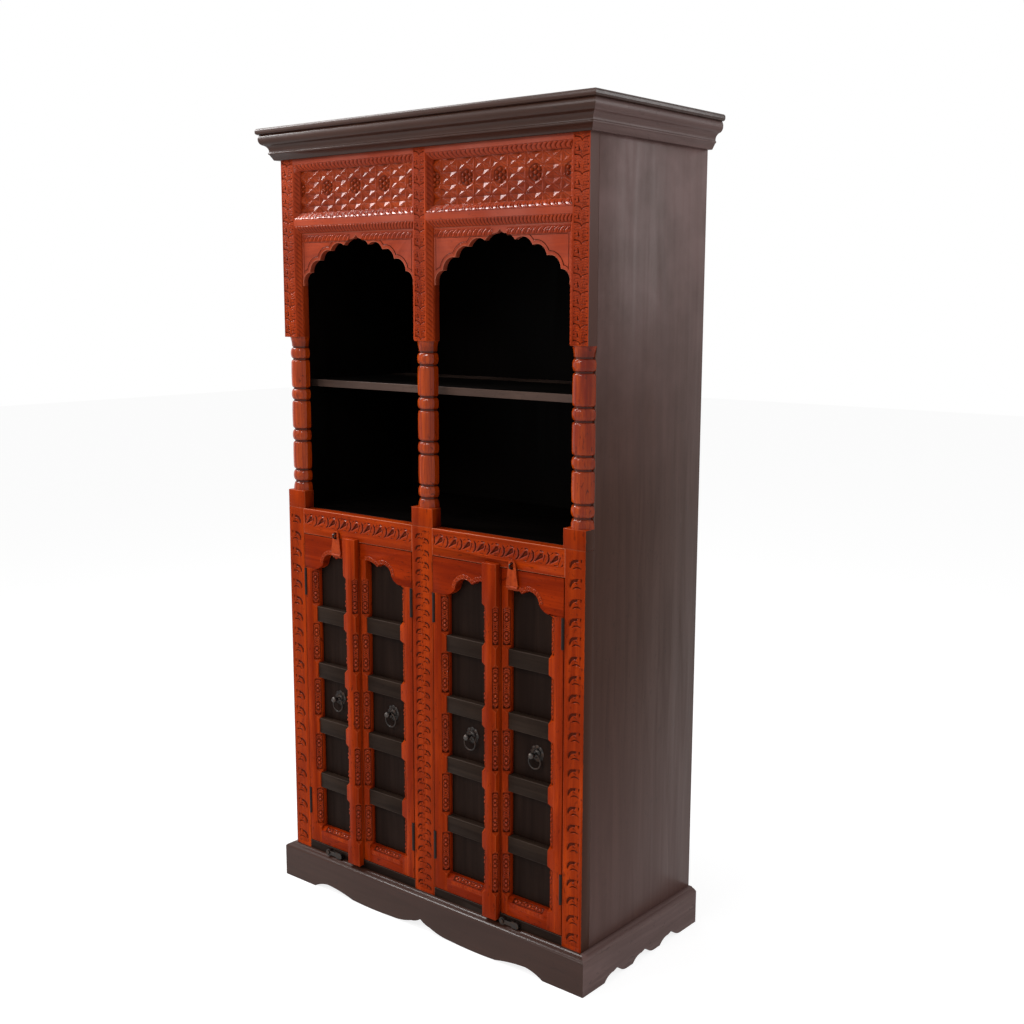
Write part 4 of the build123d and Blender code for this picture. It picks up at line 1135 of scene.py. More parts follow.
@dataclass(frozen=True)
class CommaLeaves:
    """A climbing row of commas, each over a thin arc and beside a square nick."""

    width: float
    pitch: float = 41.5
    lanes: int = 1
    depth: float = 2.45
    mirrored: bool = False
    size: float = 1.0

    def __call__(self, u: np.ndarray, v: np.ndarray) -> np.ndarray:
        """Return the carved heights.

        Args:
            u: Places across the strip, in millimetres.
            v: Places along it.

        Returns:
            Heights over the strip's face, in millimetres.
        """
        lane = self.width / self.lanes
        index = np.clip(np.floor(u / lane), 0, self.lanes - 1)
        x = (u - (index + 0.5) * lane) / self.size
        z = near(v + 0.35 * self.pitch * index, self.pitch, self.pitch / 2) / self.size
        z = z + 0.8 * np.sin(v * 0.043)
        if self.lanes == 2:
            x = np.where(index == 0, x, -x)
        if self.mirrored:
            x = -x
        cuts = [
            cut_down(sweep(x, z, (2.0, -9.0), 15.0, (72.0, 190.0), 4.6), self.depth, 2.4),
            cut_down(gouge(x, z, (3.0, 6.4), (-6.0, 3.2), 4.4, 2.6), self.depth, 2.2),
            cut_down(gouge(x, z, (3.5, 9.0), (13.0, 9.8), 1.4, 0.6), self.depth * 0.7, 1.0),
            cut_down(sweep(x, z, (6.0, -24.5), 17.0, (52.0, 138.0), 2.3), self.depth * 0.85, 1.6),
            cut_down(gouge(x, z, (15.6, 9.5), (15.6, 4.5), 2.0, 1.5), self.depth * 0.85, 1.2),
            cut_down(gouge(x, z, (2.0, 0.5), (9.0, -3.0), 2.0, 0.9), self.depth * 0.55, 1.3),
            cut_down(gouge(x, z, (-15.5, -4.0), (-16.0, 3.0), 0.9, 0.5), self.depth * 0.4, 0.8),
        ]
        return np.minimum.reduce(cuts)


@dataclass(frozen=True)
class Gadroons:
    """A row of short rounded flutes across a sloping moulding."""

    width: float
    pitch: float
    depth: float = 1.5
    bow: float = 0.5
    slant: float = 0.0
    raised: float = 0.0
    vein: float = 0.0
    crown: float = 0.5

    def __call__(self, u: np.ndarray, v: np.ndarray) -> np.ndarray:
        """Return the carved heights.

        Args:
            u: Places across the strip, in millimetres.
            v: Places along it.

        Returns:
            Heights over the strip's face, in millimetres.
        """
        x = (u - self.width / 2) / (self.width / 2)
        line = v + self.pitch * (self.bow * (1.0 - x * x) + self.slant * x)
        share = (line % self.pitch) / self.pitch
        lobe = np.clip(np.sin(share * math.pi), 0.0, 1.0) ** self.crown
        ends = np.sqrt(np.clip(1.0 - np.abs(x) ** 6, 0.0, 1.0))
        h = self.depth * (lobe * ends - 1.0)
        h -= self.vein * ridge((share - 0.62) * self.pitch, 0.8) * ends
        return h + self.raised


@dataclass(frozen=True)
class FlowerRow:
    """A raised strip of small flowers, each of two bright beads in a dark-cut ring."""

    width: float
    length: float
    flowers: int
    bead: float = 3.5
    apart: float = 5.0

    def __call__(self, u: np.ndarray, v: np.ndarray) -> np.ndarray:
        """Return the carved heights.

        Args:
            u: Places across the strip, in millimetres.
            v: Places along it.

        Returns:
            Heights over the strip's face, in millimetres.
        """
        half = self.width / 2
        t = u - half
        pitch = self.length / self.flowers
        s = near(v, pitch, pitch / 2)
        foot = np.clip((v - 0.4) / 7.5, 0.0, 1.0)
        tip = np.clip(1.0 - (self.length - v) / 7.0, 0.0, 1.0)
        head = np.sqrt(np.clip(1.0 - tip**2, 0.0, 1.0))
        outline = (half - 0.5) * np.minimum(foot, head) - 0.9 * ridge(np.abs(s) - pitch / 2, 2.2)
        body = step_up(outline - np.abs(t), 2.6)
        ground = np.full_like(t, 1.25)
        ring = np.hypot(s * 0.72, t * 1.05)
        ground -= 1.0 * ridge(ring - 7.6, 1.0)
        rays = near(np.abs(s) + 0.55 * np.abs(t), 4.4, pitch / 2 - 1.0)
        ground -= 0.9 * ridge(rays, 0.75) * step_up(ring - 8.2, 1.0)
        ground -= 0.8 * step_up(2.3 - np.hypot(np.abs(s) - pitch / 2, t), 1.2)
        petal = np.hypot(np.abs(t) - 4.3, s)
        ground = np.maximum(ground - 0.5 * step_up(6.6 - ring, 1.5), 0.15)
        ground = np.maximum(ground, 0.2 + 1.4 * dome(petal, 2.0))
        beads = 0.2 + (self.bead - 0.7) * dome(np.hypot(np.abs(s) - self.apart, t), self.bead)
        return np.maximum(ground, beads * (beads > 0.21)) * body


@dataclass(frozen=True)
class StarLattice:
    """Chip-carved triangles and lozenges between ribs, with seven-boss rosettes."""

    width: float
    length: float
    rib: float = 47.4
    first_crossing: float = 97.0
    strap: float = 2.2
    slope: float = 0.38
    ground: float = 3.6
    boss: float = 4.2
    ring: float = 11.6

    def __call__(self, u: np.ndarray, v: np.ndarray) -> np.ndarray:
        """Return the carved heights.

        Args:
            u: Places across the strip, in millimetres.
            v: Places along it.

        Returns:
            Heights over the strip's face, in millimetres.
        """
        x = v - self.length / 2
        z = u - self.first_crossing
        cos, sin = math.cos(math.radians(30)), math.sin(math.radians(30))
        pitch = self.rib * sin
        offset = self.rib / 2
        falling = cos * z - sin * (x - offset)
        rising = cos * z + sin * (x - offset)
        upright = np.abs(near(x, self.rib, offset))
        chip = np.minimum.reduce([np.abs(near(falling, pitch)), np.abs(near(rising, pitch)), upright])
        tilt = self.hand(falling, rising, x - offset, pitch)
        fall = np.clip(chip - self.strap / 2, 0.0, None)
        h = -self.slope * (0.93 + 0.14 * tilt) * fall - 1.1 * ridge(chip, 0.7) * step_up(1.6 - chip, 1.6)
        sx = near(x, 2 * self.rib)
        sz = z + 1.5 * pitch / cos
        r = np.hypot(sx, sz)
        bowl = step_up(19.5 - r, 3.0)
        ground = -self.ground
        rosette = np.full_like(h, ground)
        rosette -= 0.8 * ridge(r - 6.0, 1.5)
        for petal in range(6):
            angle = math.radians(30 + 60 * petal)
            away = np.hypot(sx - self.ring * math.cos(angle), sz - self.ring * math.sin(angle))
            rosette = np.maximum(rosette, ground + (self.boss + 1.0) * dome(away, self.boss) - 0.4)
        rosette = np.maximum(rosette, ground + 4.2 * dome(r, 4.6) - 0.4)
        return np.maximum(h, -self.ground - 1.0) * (1.0 - bowl) + rosette * bowl

    def hand(self, one: np.ndarray, two: np.ndarray, across: np.ndarray, pitch: float) -> np.ndarray:
        """Return how boldly each chip was cut, from 0 to 1, the same all over one chip.

        Args:
            one: Places across the first family of ribs.
            two: Places across the second family.
            across: Places across the upright ribs.
            pitch: The distance between the ribs of a slanting family.

        Returns:
            One value for each place.
        """
        cells = (np.floor(one / pitch), np.floor(two / pitch), np.floor(across / self.rib))
        mixed = cells[0] * CHIP_HASH[0] + cells[1] * CHIP_HASH[1] + cells[2] * CHIP_HASH[2]
        scattered = np.sin(mixed) * HASH_GAIN
        return scattered - np.floor(scattered)


# ---------------------------------------------------------------- carved strips
@dataclass
class Plot:
    """A flat rectangle that a carving is laid on.

    A point of it is corner + u * across + v * along, and out is the way the carving faces.
    """

    corner: Vector
    across: Vector
    along: Vector
    out: Vector
    width: float
    length: float
    flare: float = 0.0

    def place(self, u: np.ndarray, v: np.ndarray, h: np.ndarray) -> np.ndarray:
        """Return places on the plot.

        Args:
            u: Millimetres across.
            v: Millimetres along.
            h: Millimetres out.

        Returns:
            One place for each, in metres.
        """
        spare = self.flare * (1.0 - u / self.width)
        run = v * (self.length + 2.0 * spare) / self.length - spare
        across, along, out = (np.array(way) for way in (self.across, self.along, self.out))
        return np.array(self.corner) + MM * (np.outer(u, across) + np.outer(run, along) + np.outer(h, out))


@dataclass
class BentPlot:
    """A ribbon that follows a line on the front of a door."""

    line: np.ndarray
    y: float
    width: float
    length: float
    smoothing: float = 4.0

    @property
    def out(self) -> Vector:
        """The way that the carving faces."""
        return FORWARD

    def place(self, u: np.ndarray, v: np.ndarray, h: np.ndarray) -> np.ndarray:
        """Return places on the ribbon.

        Args:
            u: Millimetres off the line.
            v: Millimetres along it.
            h: Millimetres out.

        Returns:
            One place for each, in metres.
        """
        steps = np.hypot(*np.diff(self.line, axis=0).T)
        run = np.concatenate([[0.0], np.cumsum(steps)])
        x, z = (np.interp(v, run, self.line[:, axis]) for axis in (0, 1))
        ahead = [np.interp(v + self.smoothing, run, self.line[:, axis]) for axis in (0, 1)]
        behind = [np.interp(v - self.smoothing, run, self.line[:, axis]) for axis in (0, 1)]
        dx, dz = ahead[0] - behind[0], ahead[1] - behind[1]
        size = np.maximum(np.hypot(dx, dz), 1e-6)
        return MM * np.stack([x - dz / size * u, self.y - h, z + dx / size * u], axis=1)


def blurred(heights: np.ndarray, reach: int) -> np.ndarray:
    """Return heights averaged over a square of the given half-width.

    Args:
        heights: A grid of heights.
        reach: The half-width, in cells.

    Returns:
        The averaged grid.
    """
    window = 2 * reach + 1
    for axis in (0, 1):
        pad = [(0, 0), (0, 0)]
        pad[axis] = (reach, reach)
        wide = np.pad(heights, pad, mode="edge")
        count = heights.shape[axis]
        heights = sum(np.take(wide, np.arange(k, k + count), axis=axis) for k in range(window)) / window
    return heights


def wax_shade_and_shine(grid: np.ndarray, wax_shade_gain: float, deep_shade: float) -> Tuple[np.ndarray, np.ndarray]:
    """Return where a carving is darkened by dark wax and painted shade in its creases and deep parts, and
    where its crests are polished.

    Args:
        grid: The carving's heights, in millimetres.
        wax_shade_gain: How strongly the cuts are darkened by dark wax and painted shade.
        deep_shade: How much painted shade darkens the deep parts, and not only the creases.

    Returns:
        The darkening by dark wax and painted shade, and the shine, both from 0 to 1.
    """
    # Dark wax and painted shade: creases darken by how far they sink below their neighbours, deep parts by
    # their depth.
    hollow = blurred(grid, NEAR_BLUR) - grid + FAR_SHARE * (blurred(grid, FAR_BLUR) - grid)
    low = np.clip(grid.max() - grid - DEEP_SHADE_FROM, 0.0, None)
    wax = np.clip(hollow * CREASE_SHADE + low * low * deep_shade, 0.0, 1.0) * wax_shade_gain
    return np.clip(wax, 0.0, WAX_SHADE_LIMIT), np.clip(-hollow * CREST_SHINE - SHINE_FROM, 0.0, 1.0)


def carved_strip(
    plot: Union[Plot, BentPlot],
    heights: Heights,
    cell: float = 1.2,
    back: float = 2.6,
    wax_shade_gain: float = 1.0,
    deep_shade: float = 0.13,
) -> bmesh.types.BMesh:
    """Return a carved strip: a fine grid at the carver's heights, closed behind.

    Args:
        plot: Where the strip lies.
        heights: The pattern's heights, in millimetres.
        cell: The grid's cell, in millimetres.
        back: How far the strip's back is behind its face, in millimetres.
        wax_shade_gain: How strongly the cuts are darkened by dark wax and painted shade.
        deep_shade: How much painted shade darkens the deep parts, and not only the creases.

    Returns:
        The strip as a closed bmesh.
    """
    columns = max(LEAST_CELLS, round(plot.width / cell))
    rows = max(LEAST_CELLS, round(plot.length / cell))
    bm = fresh()
    bmesh.ops.create_grid(bm, x_segments=columns, y_segments=rows, size=0.5)
    flat = np.array([vert.co[:2] for vert in bm.verts])
    u = (flat[:, 0] + 0.5) * plot.width
    v = (flat[:, 1] + 0.5) * plot.length
    h = heights(u, v)
    order = np.lexsort((flat[:, 0], flat[:, 1]))
    wax, shine = wax_shade_and_shine(h[order].reshape(rows + 1, columns + 1), wax_shade_gain, deep_shade)
    dark, clean = np.empty_like(h), np.empty_like(h)
    dark[order], clean[order] = wax.ravel(), shine.ravel()
    wax_shade_layer, polish_layer = bm.verts.layers.float[WAX_SHADE], bm.verts.layers.float[POLISH]
    for vert, place, waxed_and_shaded, polished in zip(bm.verts, plot.place(u, v, h), dark, clean):
        vert.co = place
        vert[wax_shade_layer] = waxed_and_shaded
        vert[polish_layer] = polished
    rim = [edge for edge in bm.edges if edge.is_boundary]
    made = bmesh.ops.extrude_edge_only(bm, edges=rim)["geom"]
    out = np.array(plot.out)
    floor = plot.place(u[:1], v[:1], np.array([-back]))[0]
    for vert in [item for item in made if isinstance(item, bmesh.types.BMVert)]:
        place = np.array(vert.co)
        vert.co = place - out * np.dot(place - floor, out)
    edges = [item for item in made if isinstance(item, bmesh.types.BMEdge)]
    bmesh.ops.holes_fill(bm, edges=[edge for edge in edges if edge.is_boundary], sides=0)
    bmesh.ops.recalc_face_normals(bm, faces=bm.faces)
    return bm


def upright_plot(x: Span, y: float, z: Span) -> Plot:
    """Return a plot on an upright front face, running up."""
    return Plot(point(x[0], y, z[0]), RIGHT, UP, FORWARD, x[1] - x[0], z[1] - z[0])


def level_plot(x: Span, y: float, z: Span) -> Plot:
    """Return a plot on an upright front face, running along X."""
    return Plot(point(x[0], y, z[0]), UP, RIGHT, FORWARD, z[1] - z[0], x[1] - x[0])


def slope_plot(x: Span, low: Span, high: Span, flare: float, trim: float = 0.8) -> Plot:
    """Return a plot on a sloping moulding, running along X.

    Args:
        x: Its ends on the side away from the front.
        low: The (y, z) of its front edge.
        high: The (y, z) of its back edge.
        flare: How much further each end goes at the front edge.
        trim: The bare margin left on both edges.

    Returns:
        The plot.
    """
    run = Vector((0.0, high[0] - low[0], high[1] - low[1]))
    across = run.normalized()
    out = Vector((0.0, -abs(across.z), across.y * math.copysign(1.0, across.z)))
    corner = point(x[0], low[0], low[1]) + across * trim * MM
    return Plot(corner, across, RIGHT, out, run.length - 2 * trim, x[1] - x[0], flare)


def chamfer_plot(
    x: float, stock: int, y: float, width: float, depth: float, z: Span, trim: float = 0.6
) -> Plot:
    """Return a plot on an upright chamfer.

    Args:
        x: Where the uncut corner was.
        stock: The side of the corner that the timber is on, 1 or -1.
        y: The front face.
        width: The chamfer's width along X.
        depth: The chamfer's depth along Y.
        z: Its low and high ends.
        trim: The bare margin left on both edges.

    Returns:
        The plot.
    """
    run = Vector((-stock * width, depth, 0.0))
    across = run.normalized()
    out = Vector((-stock * depth, -width, 0.0)).normalized()
    corner = point(x + stock * width, y, z[0]) + across * trim * MM
    return Plot(corner, across, UP, out, run.length - 2 * trim, z[1] - z[0])


# ---------------------------------------------------------------- upper front
@dataclass
class UpperPosts:
    """The three front posts of the open bays: base block, turned column and carved head."""

    names: Tuple[str, ...] = ("left", "centre", "right")
    spans: Tuple[Span, ...] = ((-465.5, -408.5), (-36.0, 28.0), (408.5, 465.5))
    faces: Tuple[Span, ...] = ((-465.5, -422.0), (-22.5, 14.5), (422.0, 465.5))
    inner_sides: Tuple[Tuple[int, ...], ...] = ((1,), (-1, 1), (-1,))
    head_ease: float = 1.0
    base_ease: float = 1.4
    least_edge: float = 12.0
    field_margin: float = 3.0
    field: Span = (1411.0, 1828.0)
    chamfer_zones: Tuple[Span, ...] = ((1411.0, 1656.0), (1706.5, 1801.5))
    run_out_top: float = 1430.0
    bead_radius: float = 28.0
    barrel_radius: float = 27.0
    groove_radius: float = 22.5
    capital: Tuple[float, float, float] = (28.0, 24.5, 23.0)
    bead_height: float = 26.0
    foot_height: float = 20.0
    groove: float = 3.5
    shoulder: float = 7.0
    members: Tuple[str, ...] = ("bead", "barrel", "bead", "barrel", "bead", "barrel", "bead", "foot")
    facets: int = 14
    facet_depth: float = 0.6
    facets_from: float = 3.4
    # Painted shade towards the grooves: its reach, its darkest value and its fall-off.
    groove_shade: float = 4.5
    groove_painted_shade: float = 0.85
    groove_fade: float = 1.4
    pole: float = 0.5
    lip: float = 1.0
    neck_step: float = 0.6
    belly: float = 0.5
    steps: int = 84

    def build(self) -> None:
        """Build and dress the three posts."""
        for name, span, face, sides in zip(self.names, self.spans, self.faces, self.inner_sides):
            node = f"upper_post_{name}"
            run_out = partial(self.run_out, span=span, sides=sides)
            timber = eased_copy(node, self.head_ease, self.least_edge, self.in_head, run_out)
            absorb(timber, eased_copy(node, self.base_ease, self.least_edge, self.in_base))
            place_piece(f"{node}_timber", timber, CARVED, instead_of=[node])
            self.turning(node, (span[0] + span[1]) / 2)
            self.carving(node, span, face, sides)

    def in_head(self, low: float, high: float) -> bool:
        """Tell if a face between two levels belongs to the post's head."""
        return low > CASE.column_head - LEVEL_SLACK

    def in_base(self, low: float, high: float) -> bool:
        """Tell if a face between two levels belongs to the post's base block."""
        return high < CASE.column_foot + LEVEL_SLACK

    def run_out(self, bm: bmesh.types.BMesh, span: Span, sides: Sequence[int]) -> None:
        """Run a post's chamfers out through the foot of its head.

        Args:
            bm: The head, in metres.
            span: The post's width.
            sides: The sides that have a chamfer.
        """
        for side in sides:
            corner = (span[1] if side > 0 else span[0], CASE.front)
            slice_corner(bm, self.run_out_top, corner, side, CASE.chamfer)

    def profile(self) -> List[Point]:
        """Return the column's outline from its top pole to its foot pole.

        Returns:
            (radius, height) points, in millimetres.
        """
        z = CASE.column_head
        wide, neck, fall = self.capital
        outline = [(0.0, z + self.pole), (wide, z + self.pole), (wide, z - self.lip)]
        for share in np.linspace(0.0, 1.0, 8)[1:]:
            narrowing = (wide - neck) * math.sin(share * math.pi / 2)
            outline.append((wide - narrowing, z - self.lip - (fall - 3.0) * share))
        outline.append((neck - self.neck_step, z - fall))
        z -= fall
        fixed = fall + self.foot_height + self.members.count("bead") * self.bead_height
        fixed += len(self.members) * self.groove
        barrel = (CASE.column_head - CASE.column_foot - fixed) / self.members.count("barrel")
        for member in self.members:
            outline += [(self.groove_radius, z), (self.groove_radius, z - self.groove)]
            z -= self.groove
            if member == "bead":
                outline += self.torus(z, self.bead_height, 0.5, self.bead_radius)
                z -= self.bead_height
            elif member == "barrel":
                outline += self.torus(z, barrel, self.shoulder / barrel, self.barrel_radius)
                z -= barrel
            else:
                outline += self.torus(z, 2 * self.foot_height, 0.5, self.bead_radius)[:6]
                outline.append((self.bead_radius, CASE.column_foot))
        return outline + [(0.0, CASE.column_foot - self.pole)]

    def torus(self, top: float, height: float, round_share: float, radius: float) -> List[Point]:
        """Return the outline of one rounded member, from its top down.

        Args:
            top: Its upper edge.
            height: Its height.
            round_share: The share of its height that each rounded end takes.
            radius: Its widest radius.

        Returns:
            (radius, height) points.
        """
        swell = radius - self.groove_radius
        drop = round_share * height
        turn = [math.pi / 2 * step / 6 for step in range(7)]
        upper = [(self.groove_radius + swell * math.sin(a), top - drop * (1 - math.cos(a))) for a in turn]
        lower = [(r, 2 * top - height - z) for r, z in reversed(upper)]
        middle = []
        if round_share < 0.5:
            for share in (0.2, 0.4, 0.6, 0.8):
                z = upper[-1][1] + (lower[0][1] - upper[-1][1]) * share
                middle.append((radius + self.belly * math.sin(share * math.pi), z))
        return upper + middle + lower

    def turning(self, node: str, x: float) -> None:
        """Build one half-round column, with the faint flats that a hand-held tool leaves and painted shade
        darkening towards its grooves.

        Args:
            node: The CAD node that it helps to replace.
            x: Its axis.
        """
        bm = turned(self.profile(), self.steps)
        everything = bm.verts[:] + bm.edges[:] + bm.faces[:]
        bmesh.ops.bisect_plane(
            bm,
            geom=everything,
            dist=CUT_DISTANCE,
            plane_co=(0, 0, 0),
            plane_no=(0, 1, 0),
            clear_outer=True,
        )
        close_holes(bm)
        bmesh.ops.recalc_face_normals(bm, faces=bm.faces)
        y = CASE.front + CASE.post_depth
        layer = bm.verts.layers.float[WAX_SHADE]
        for vert in bm.verts:
            radius = math.hypot(vert.co.x, vert.co.y) / MM
            if radius > self.groove_radius + self.facets_from:
                turn = math.atan2(vert.co.y, vert.co.x)
                cut = 1.0 - self.facet_depth / radius * abs(math.sin(turn * self.facets / 2))
                vert.co.x *= cut
                vert.co.y *= cut
            # Painted shade: the wax-and-shade mark darkens towards each groove so that the column reads
            # round.
            if radius > 1.0:
                shade = 1.0 - max(0.0, radius - self.groove_radius) / self.groove_shade
                vert[layer] = self.groove_painted_shade * max(0.0, shade) ** self.groove_fade
        bmesh.ops.translate(bm, verts=bm.verts, vec=point(x, y, 0.0))
        place_piece(f"{node}_turning", bm, TURNED, instead_of=[node])

    def carving(self, node: str, span: Span, face: Span, sides: Sequence[int]) -> None:
        """Carve one post's face and its long chamfers.

        Args:
            node: The post's CAD node.
            span: The post's width.
            face: The flat part of its front.
            sides: The sides that have a chamfer.
        """
        field_x = (face[0] + self.field_margin, face[1] - self.field_margin)
        plot = upright_plot(field_x, CASE.front, self.field)
        bm = carved_strip(plot, WingLeaves(plot.width), cell=1.0, wax_shade_gain=1.4)
        for side in sides:
            corner = span[1] if side > 0 else span[0]
            for zone in self.chamfer_zones:
                plot = chamfer_plot(corner, -side, CASE.front, CASE.chamfer, CASE.chamfer, zone)
                lobes = Gadroons(plot.width, pitch=11.0, depth=1.5, bow=0.0, slant=0.75 * side, raised=1.45)
                absorb(bm, carved_strip(plot, lobes, cell=1.3, back=0.6))
        place_piece(f"{node}_carving", bm, CARVED)


@dataclass
class Frieze:
    """The rails, star lattice and arched boards between the upper posts."""

    lattice_thickness: float = 12.0
    mitre_gap: float = 1.5
    band: Span = (1636.5, 1652.5)
    band_inset: float = 2.0
    band_gap: float = 21.0
    arch_leg: float = 3.0
    cusps: Tuple[Point, ...] = ((0.22, 24.0), (0.47, 36.0), (0.67, 58.0), (0.865, 86.0))
    rise: float = 114.0
    tip_turn: Point = (0.32, 0.4)
    foil_sag: float = 0.24
    tip_sag: float = 0.12
    echo: float = 8.5
    echo_gap: float = 1.5
    echo_steps: int = 120
    echo_overrun: float = 0.35
    echo_from_middle: float = 10.0
    echo_from_post: float = 7.0
    echo_over_spring: float = 4.0
    echo_under_band: float = 2.5
    incised: Point = (0.55, 0.15)
    raised: Point = (0.75, 0.35)
    rule_drop: float = 1.6
    rule_inset: float = 9.0
    side_rule_inset: float = 5.5
    side_rule_foot: float = 26.0

    def build(self) -> None:
        """Build and dress the frieze of both bays."""
        place_eased("frieze_rail_timber", "frieze_rails", CARVED_LEVEL, ease=0.8, least=12.0)
        place_eased("arch_board_timber", "arch_boards", CARVED_LEVEL, ease=0.9, least=1.0)
        for name, bay in zip(PAIRS, CASE.upper_bays):
            self.lattice(name, bay)
            self.mouldings(name, bay)
            self.leaf_band(name, bay)
            self.arch_lines(name, bay)

    def lattice(self, name: str, bay: Span) -> None:
        """Carve one star lattice.

        Args:
            name: The bay's name.
            bay: Its ends.
        """
        plot = level_plot(bay, CASE.sunk, CASE.lattice)
        pattern = StarLattice(plot.width, plot.length)
        bm = carved_strip(plot, pattern, cell=0.8, back=self.lattice_thickness, wax_shade_gain=0.7, deep_shade=0.012)
        place_piece(f"{name}_star_lattice", bm, LATTICE_WOOD, instead_of=["lattice_panels"])

    def mouldings(self, name: str, bay: Span) -> None:
        """Carve the sloping mouldings over and under one lattice.

        Args:
            name: The bay's name.
            bay: Its ends.
        """
        face, sunk = CASE.front, CASE.sunk
        slopes = (
            ((face, CASE.top_slope), (sunk, CASE.lattice[1]), 12.4, 0.55, False),
            ((face, CASE.fillet[1]), (sunk, CASE.mid_rail[1]), 18.7, 0.50, True),
            ((face, CASE.fillet[0]), (sunk, CASE.mid_rail[0]), 9.4, 0.45, False),
        )
        plain, scrolls = fresh(), fresh()
        for low, high, pitch, bow, scroll in slopes:
            plot = slope_plot(bay, low, high, CASE.chamfer - self.mitre_gap)
            crown, vein = (0.28, 1.4) if scroll else (0.5, 0.0)
            lobes = Gadroons(
                plot.width, pitch, depth=2.6, bow=bow, slant=0.12, raised=2.2, vein=vein, crown=crown
            )
            absorb(scrolls if scroll else plain, carved_strip(plot, lobes, cell=1.0, back=THIN_BACK))
        place_piece(f"{name}_frieze_mouldings", plain, MOULDED)
        place_piece(f"{name}_frieze_scrolls", scrolls, SCROLLED)

    def leaf_band(self, name: str, bay: Span) -> None:
        """Carve the band of leaves over one arch, in two halves.

        Args:
            name: The bay's name.
            bay: Its ends.
        """
        middle = (bay[0] + bay[1]) / 2
        bm = fresh()
        halves = (
            (bay[0] + self.band_inset, middle - self.band_gap),
            (middle + self.band_gap, bay[1] - self.band_inset),
        )
        for x in halves:
            plot = level_plot(x, CASE.sunk, self.band)
            leaves = Gadroons(plot.width, pitch=14.5, depth=2.6, bow=0.25, slant=-0.45, raised=2.3, vein=1.5)
            absorb(bm, carved_strip(plot, leaves, cell=1.15, back=THIN_BACK))
        place_piece(f"{name}_arch_leaf_band", bm, MOULDED)

    def arch_lines(self, name: str, bay: Span) -> None:
        """Lay the incised and the raised line round the foils of one arch; the incised lines and rules are
        near-black beads, dark wax and painted shade in place of a cut.

        Args:
            name: The bay's name.
            bay: Its ends.
        """
        middle, half = (bay[0] + bay[1]) / 2, (bay[1] - bay[0]) / 2
        seam, crest = fresh(), fresh()
        lines = ((self.echo, seam, *self.incised), (self.echo - self.echo_gap, crest, *self.raised))
        for offset, target, radius, depth in lines:
            for run in self.echo_runs(half, offset):
                line = [point(middle + x, CASE.sunk - radius + depth, z) for x, z in run]
                absorb(target, swept_bead(f"{name}_echo", line, radius))
        top = self.band[0] - self.rule_drop
        foot = CASE.arch_apex - self.rise + self.side_rule_foot
        left, right = bay[0] + self.side_rule_inset, bay[1] - self.side_rule_inset
        rules = (
            ((bay[0] + self.rule_inset, top), (middle - self.band_gap, top)),
            ((middle + self.band_gap, top), (bay[1] - self.rule_inset, top)),
            ((left, foot), (left, top)),
            ((right, foot), (right, top)),
        )
        for rule in rules:
            line = [point(x, CASE.sunk, z) for x, z in rule]
            absorb(seam, swept_bead(f"{name}_rule", line, self.incised[0]))
        place_piece(f"{name}_arch_incised_line", seam, INCISED_SHADE_FINISH)
        place_piece(f"{name}_arch_raised_line", crest, CARVED_LEVEL)

    def echo_runs(self, half: float, offset: float) -> List[List[Point]]:
        """Return the runs of the line that follows the foils at a distance.

        Args:
            half: Half of the bay's width.
            offset: The distance outside the foils.

        Returns:
            One run of (x, z) points per foil, trimmed where it meets the next.
        """
        spring = (half - self.arch_leg, CASE.arch_apex - self.rise)
        knots = [(share * half, CASE.arch_apex - drop) for share, drop in self.cusps] + [spring]
        drop = (CASE.arch_apex - knots[0][1]) * self.tip_turn[1]
        turn = (knots[0][0] * self.tip_turn[0], CASE.arch_apex - drop)
        ends = [(turn, knots[0], self.tip_sag)] + [(a, b, self.foil_sag) for a, b in zip(knots, knots[1:])]
        circles = [circle_of(*arc) for arc in ends]
        runs = []
        lowest, highest = spring[1] + self.echo_over_spring, self.band[0] - self.echo_under_band
        for index, (cx, cz, radius) in enumerate(circles):
            run = []
            spans = [math.atan2(end[1] - cz, end[0] - cx) for end in ends[index][:2]]
            low, high = min(spans) - self.echo_overrun, max(spans) + self.echo_overrun
            for step in range(self.echo_steps + 1):
                angle = low + (high - low) * step / self.echo_steps
                x, z = cx + (radius + offset) * math.cos(angle), cz + (radius + offset) * math.sin(angle)
                clear = all(
                    math.hypot(x - ox, z - oz) >= other + offset - LEVEL_SLACK
                    for k, (ox, oz, other) in enumerate(circles)
                    if k != index
                )
                inside = self.echo_from_middle < x < half - self.echo_from_post and lowest < z < highest
                if clear and inside:
                    run.append((x, z))
            if len(run) > 3:
                runs.append(run)
                runs.append([(-x, z) for x, z in run])
        return runs


def heading(edge: bmesh.types.BMEdge, vert: bmesh.types.BMVert) -> Vector:
    """Return the way that an edge leaves one of its ends."""
    return (edge.other_vert(vert).co - vert.co).normalized()


def circle_of(a: Point, b: Point, sag_share: float) -> Tuple[float, float, float]:
    """Return the centre and radius of the arc from a to b that bulges to its left.

    Args:
        a: The start.
        b: The end.
        sag_share: The bulge as a share of the chord.

    Returns:
        x, z and radius.
    """
    run, rise = b[0] - a[0], b[1] - a[1]
    chord = math.hypot(run, rise)
    sag = sag_share * chord
    radius = (chord * chord / 4 + sag * sag) / (2 * sag)
    reach = radius - sag
    middle = ((a[0] + b[0]) / 2, (a[1] + b[1]) / 2)
    return middle[0] + rise / chord * reach, middle[1] - run / chord * reach, radius


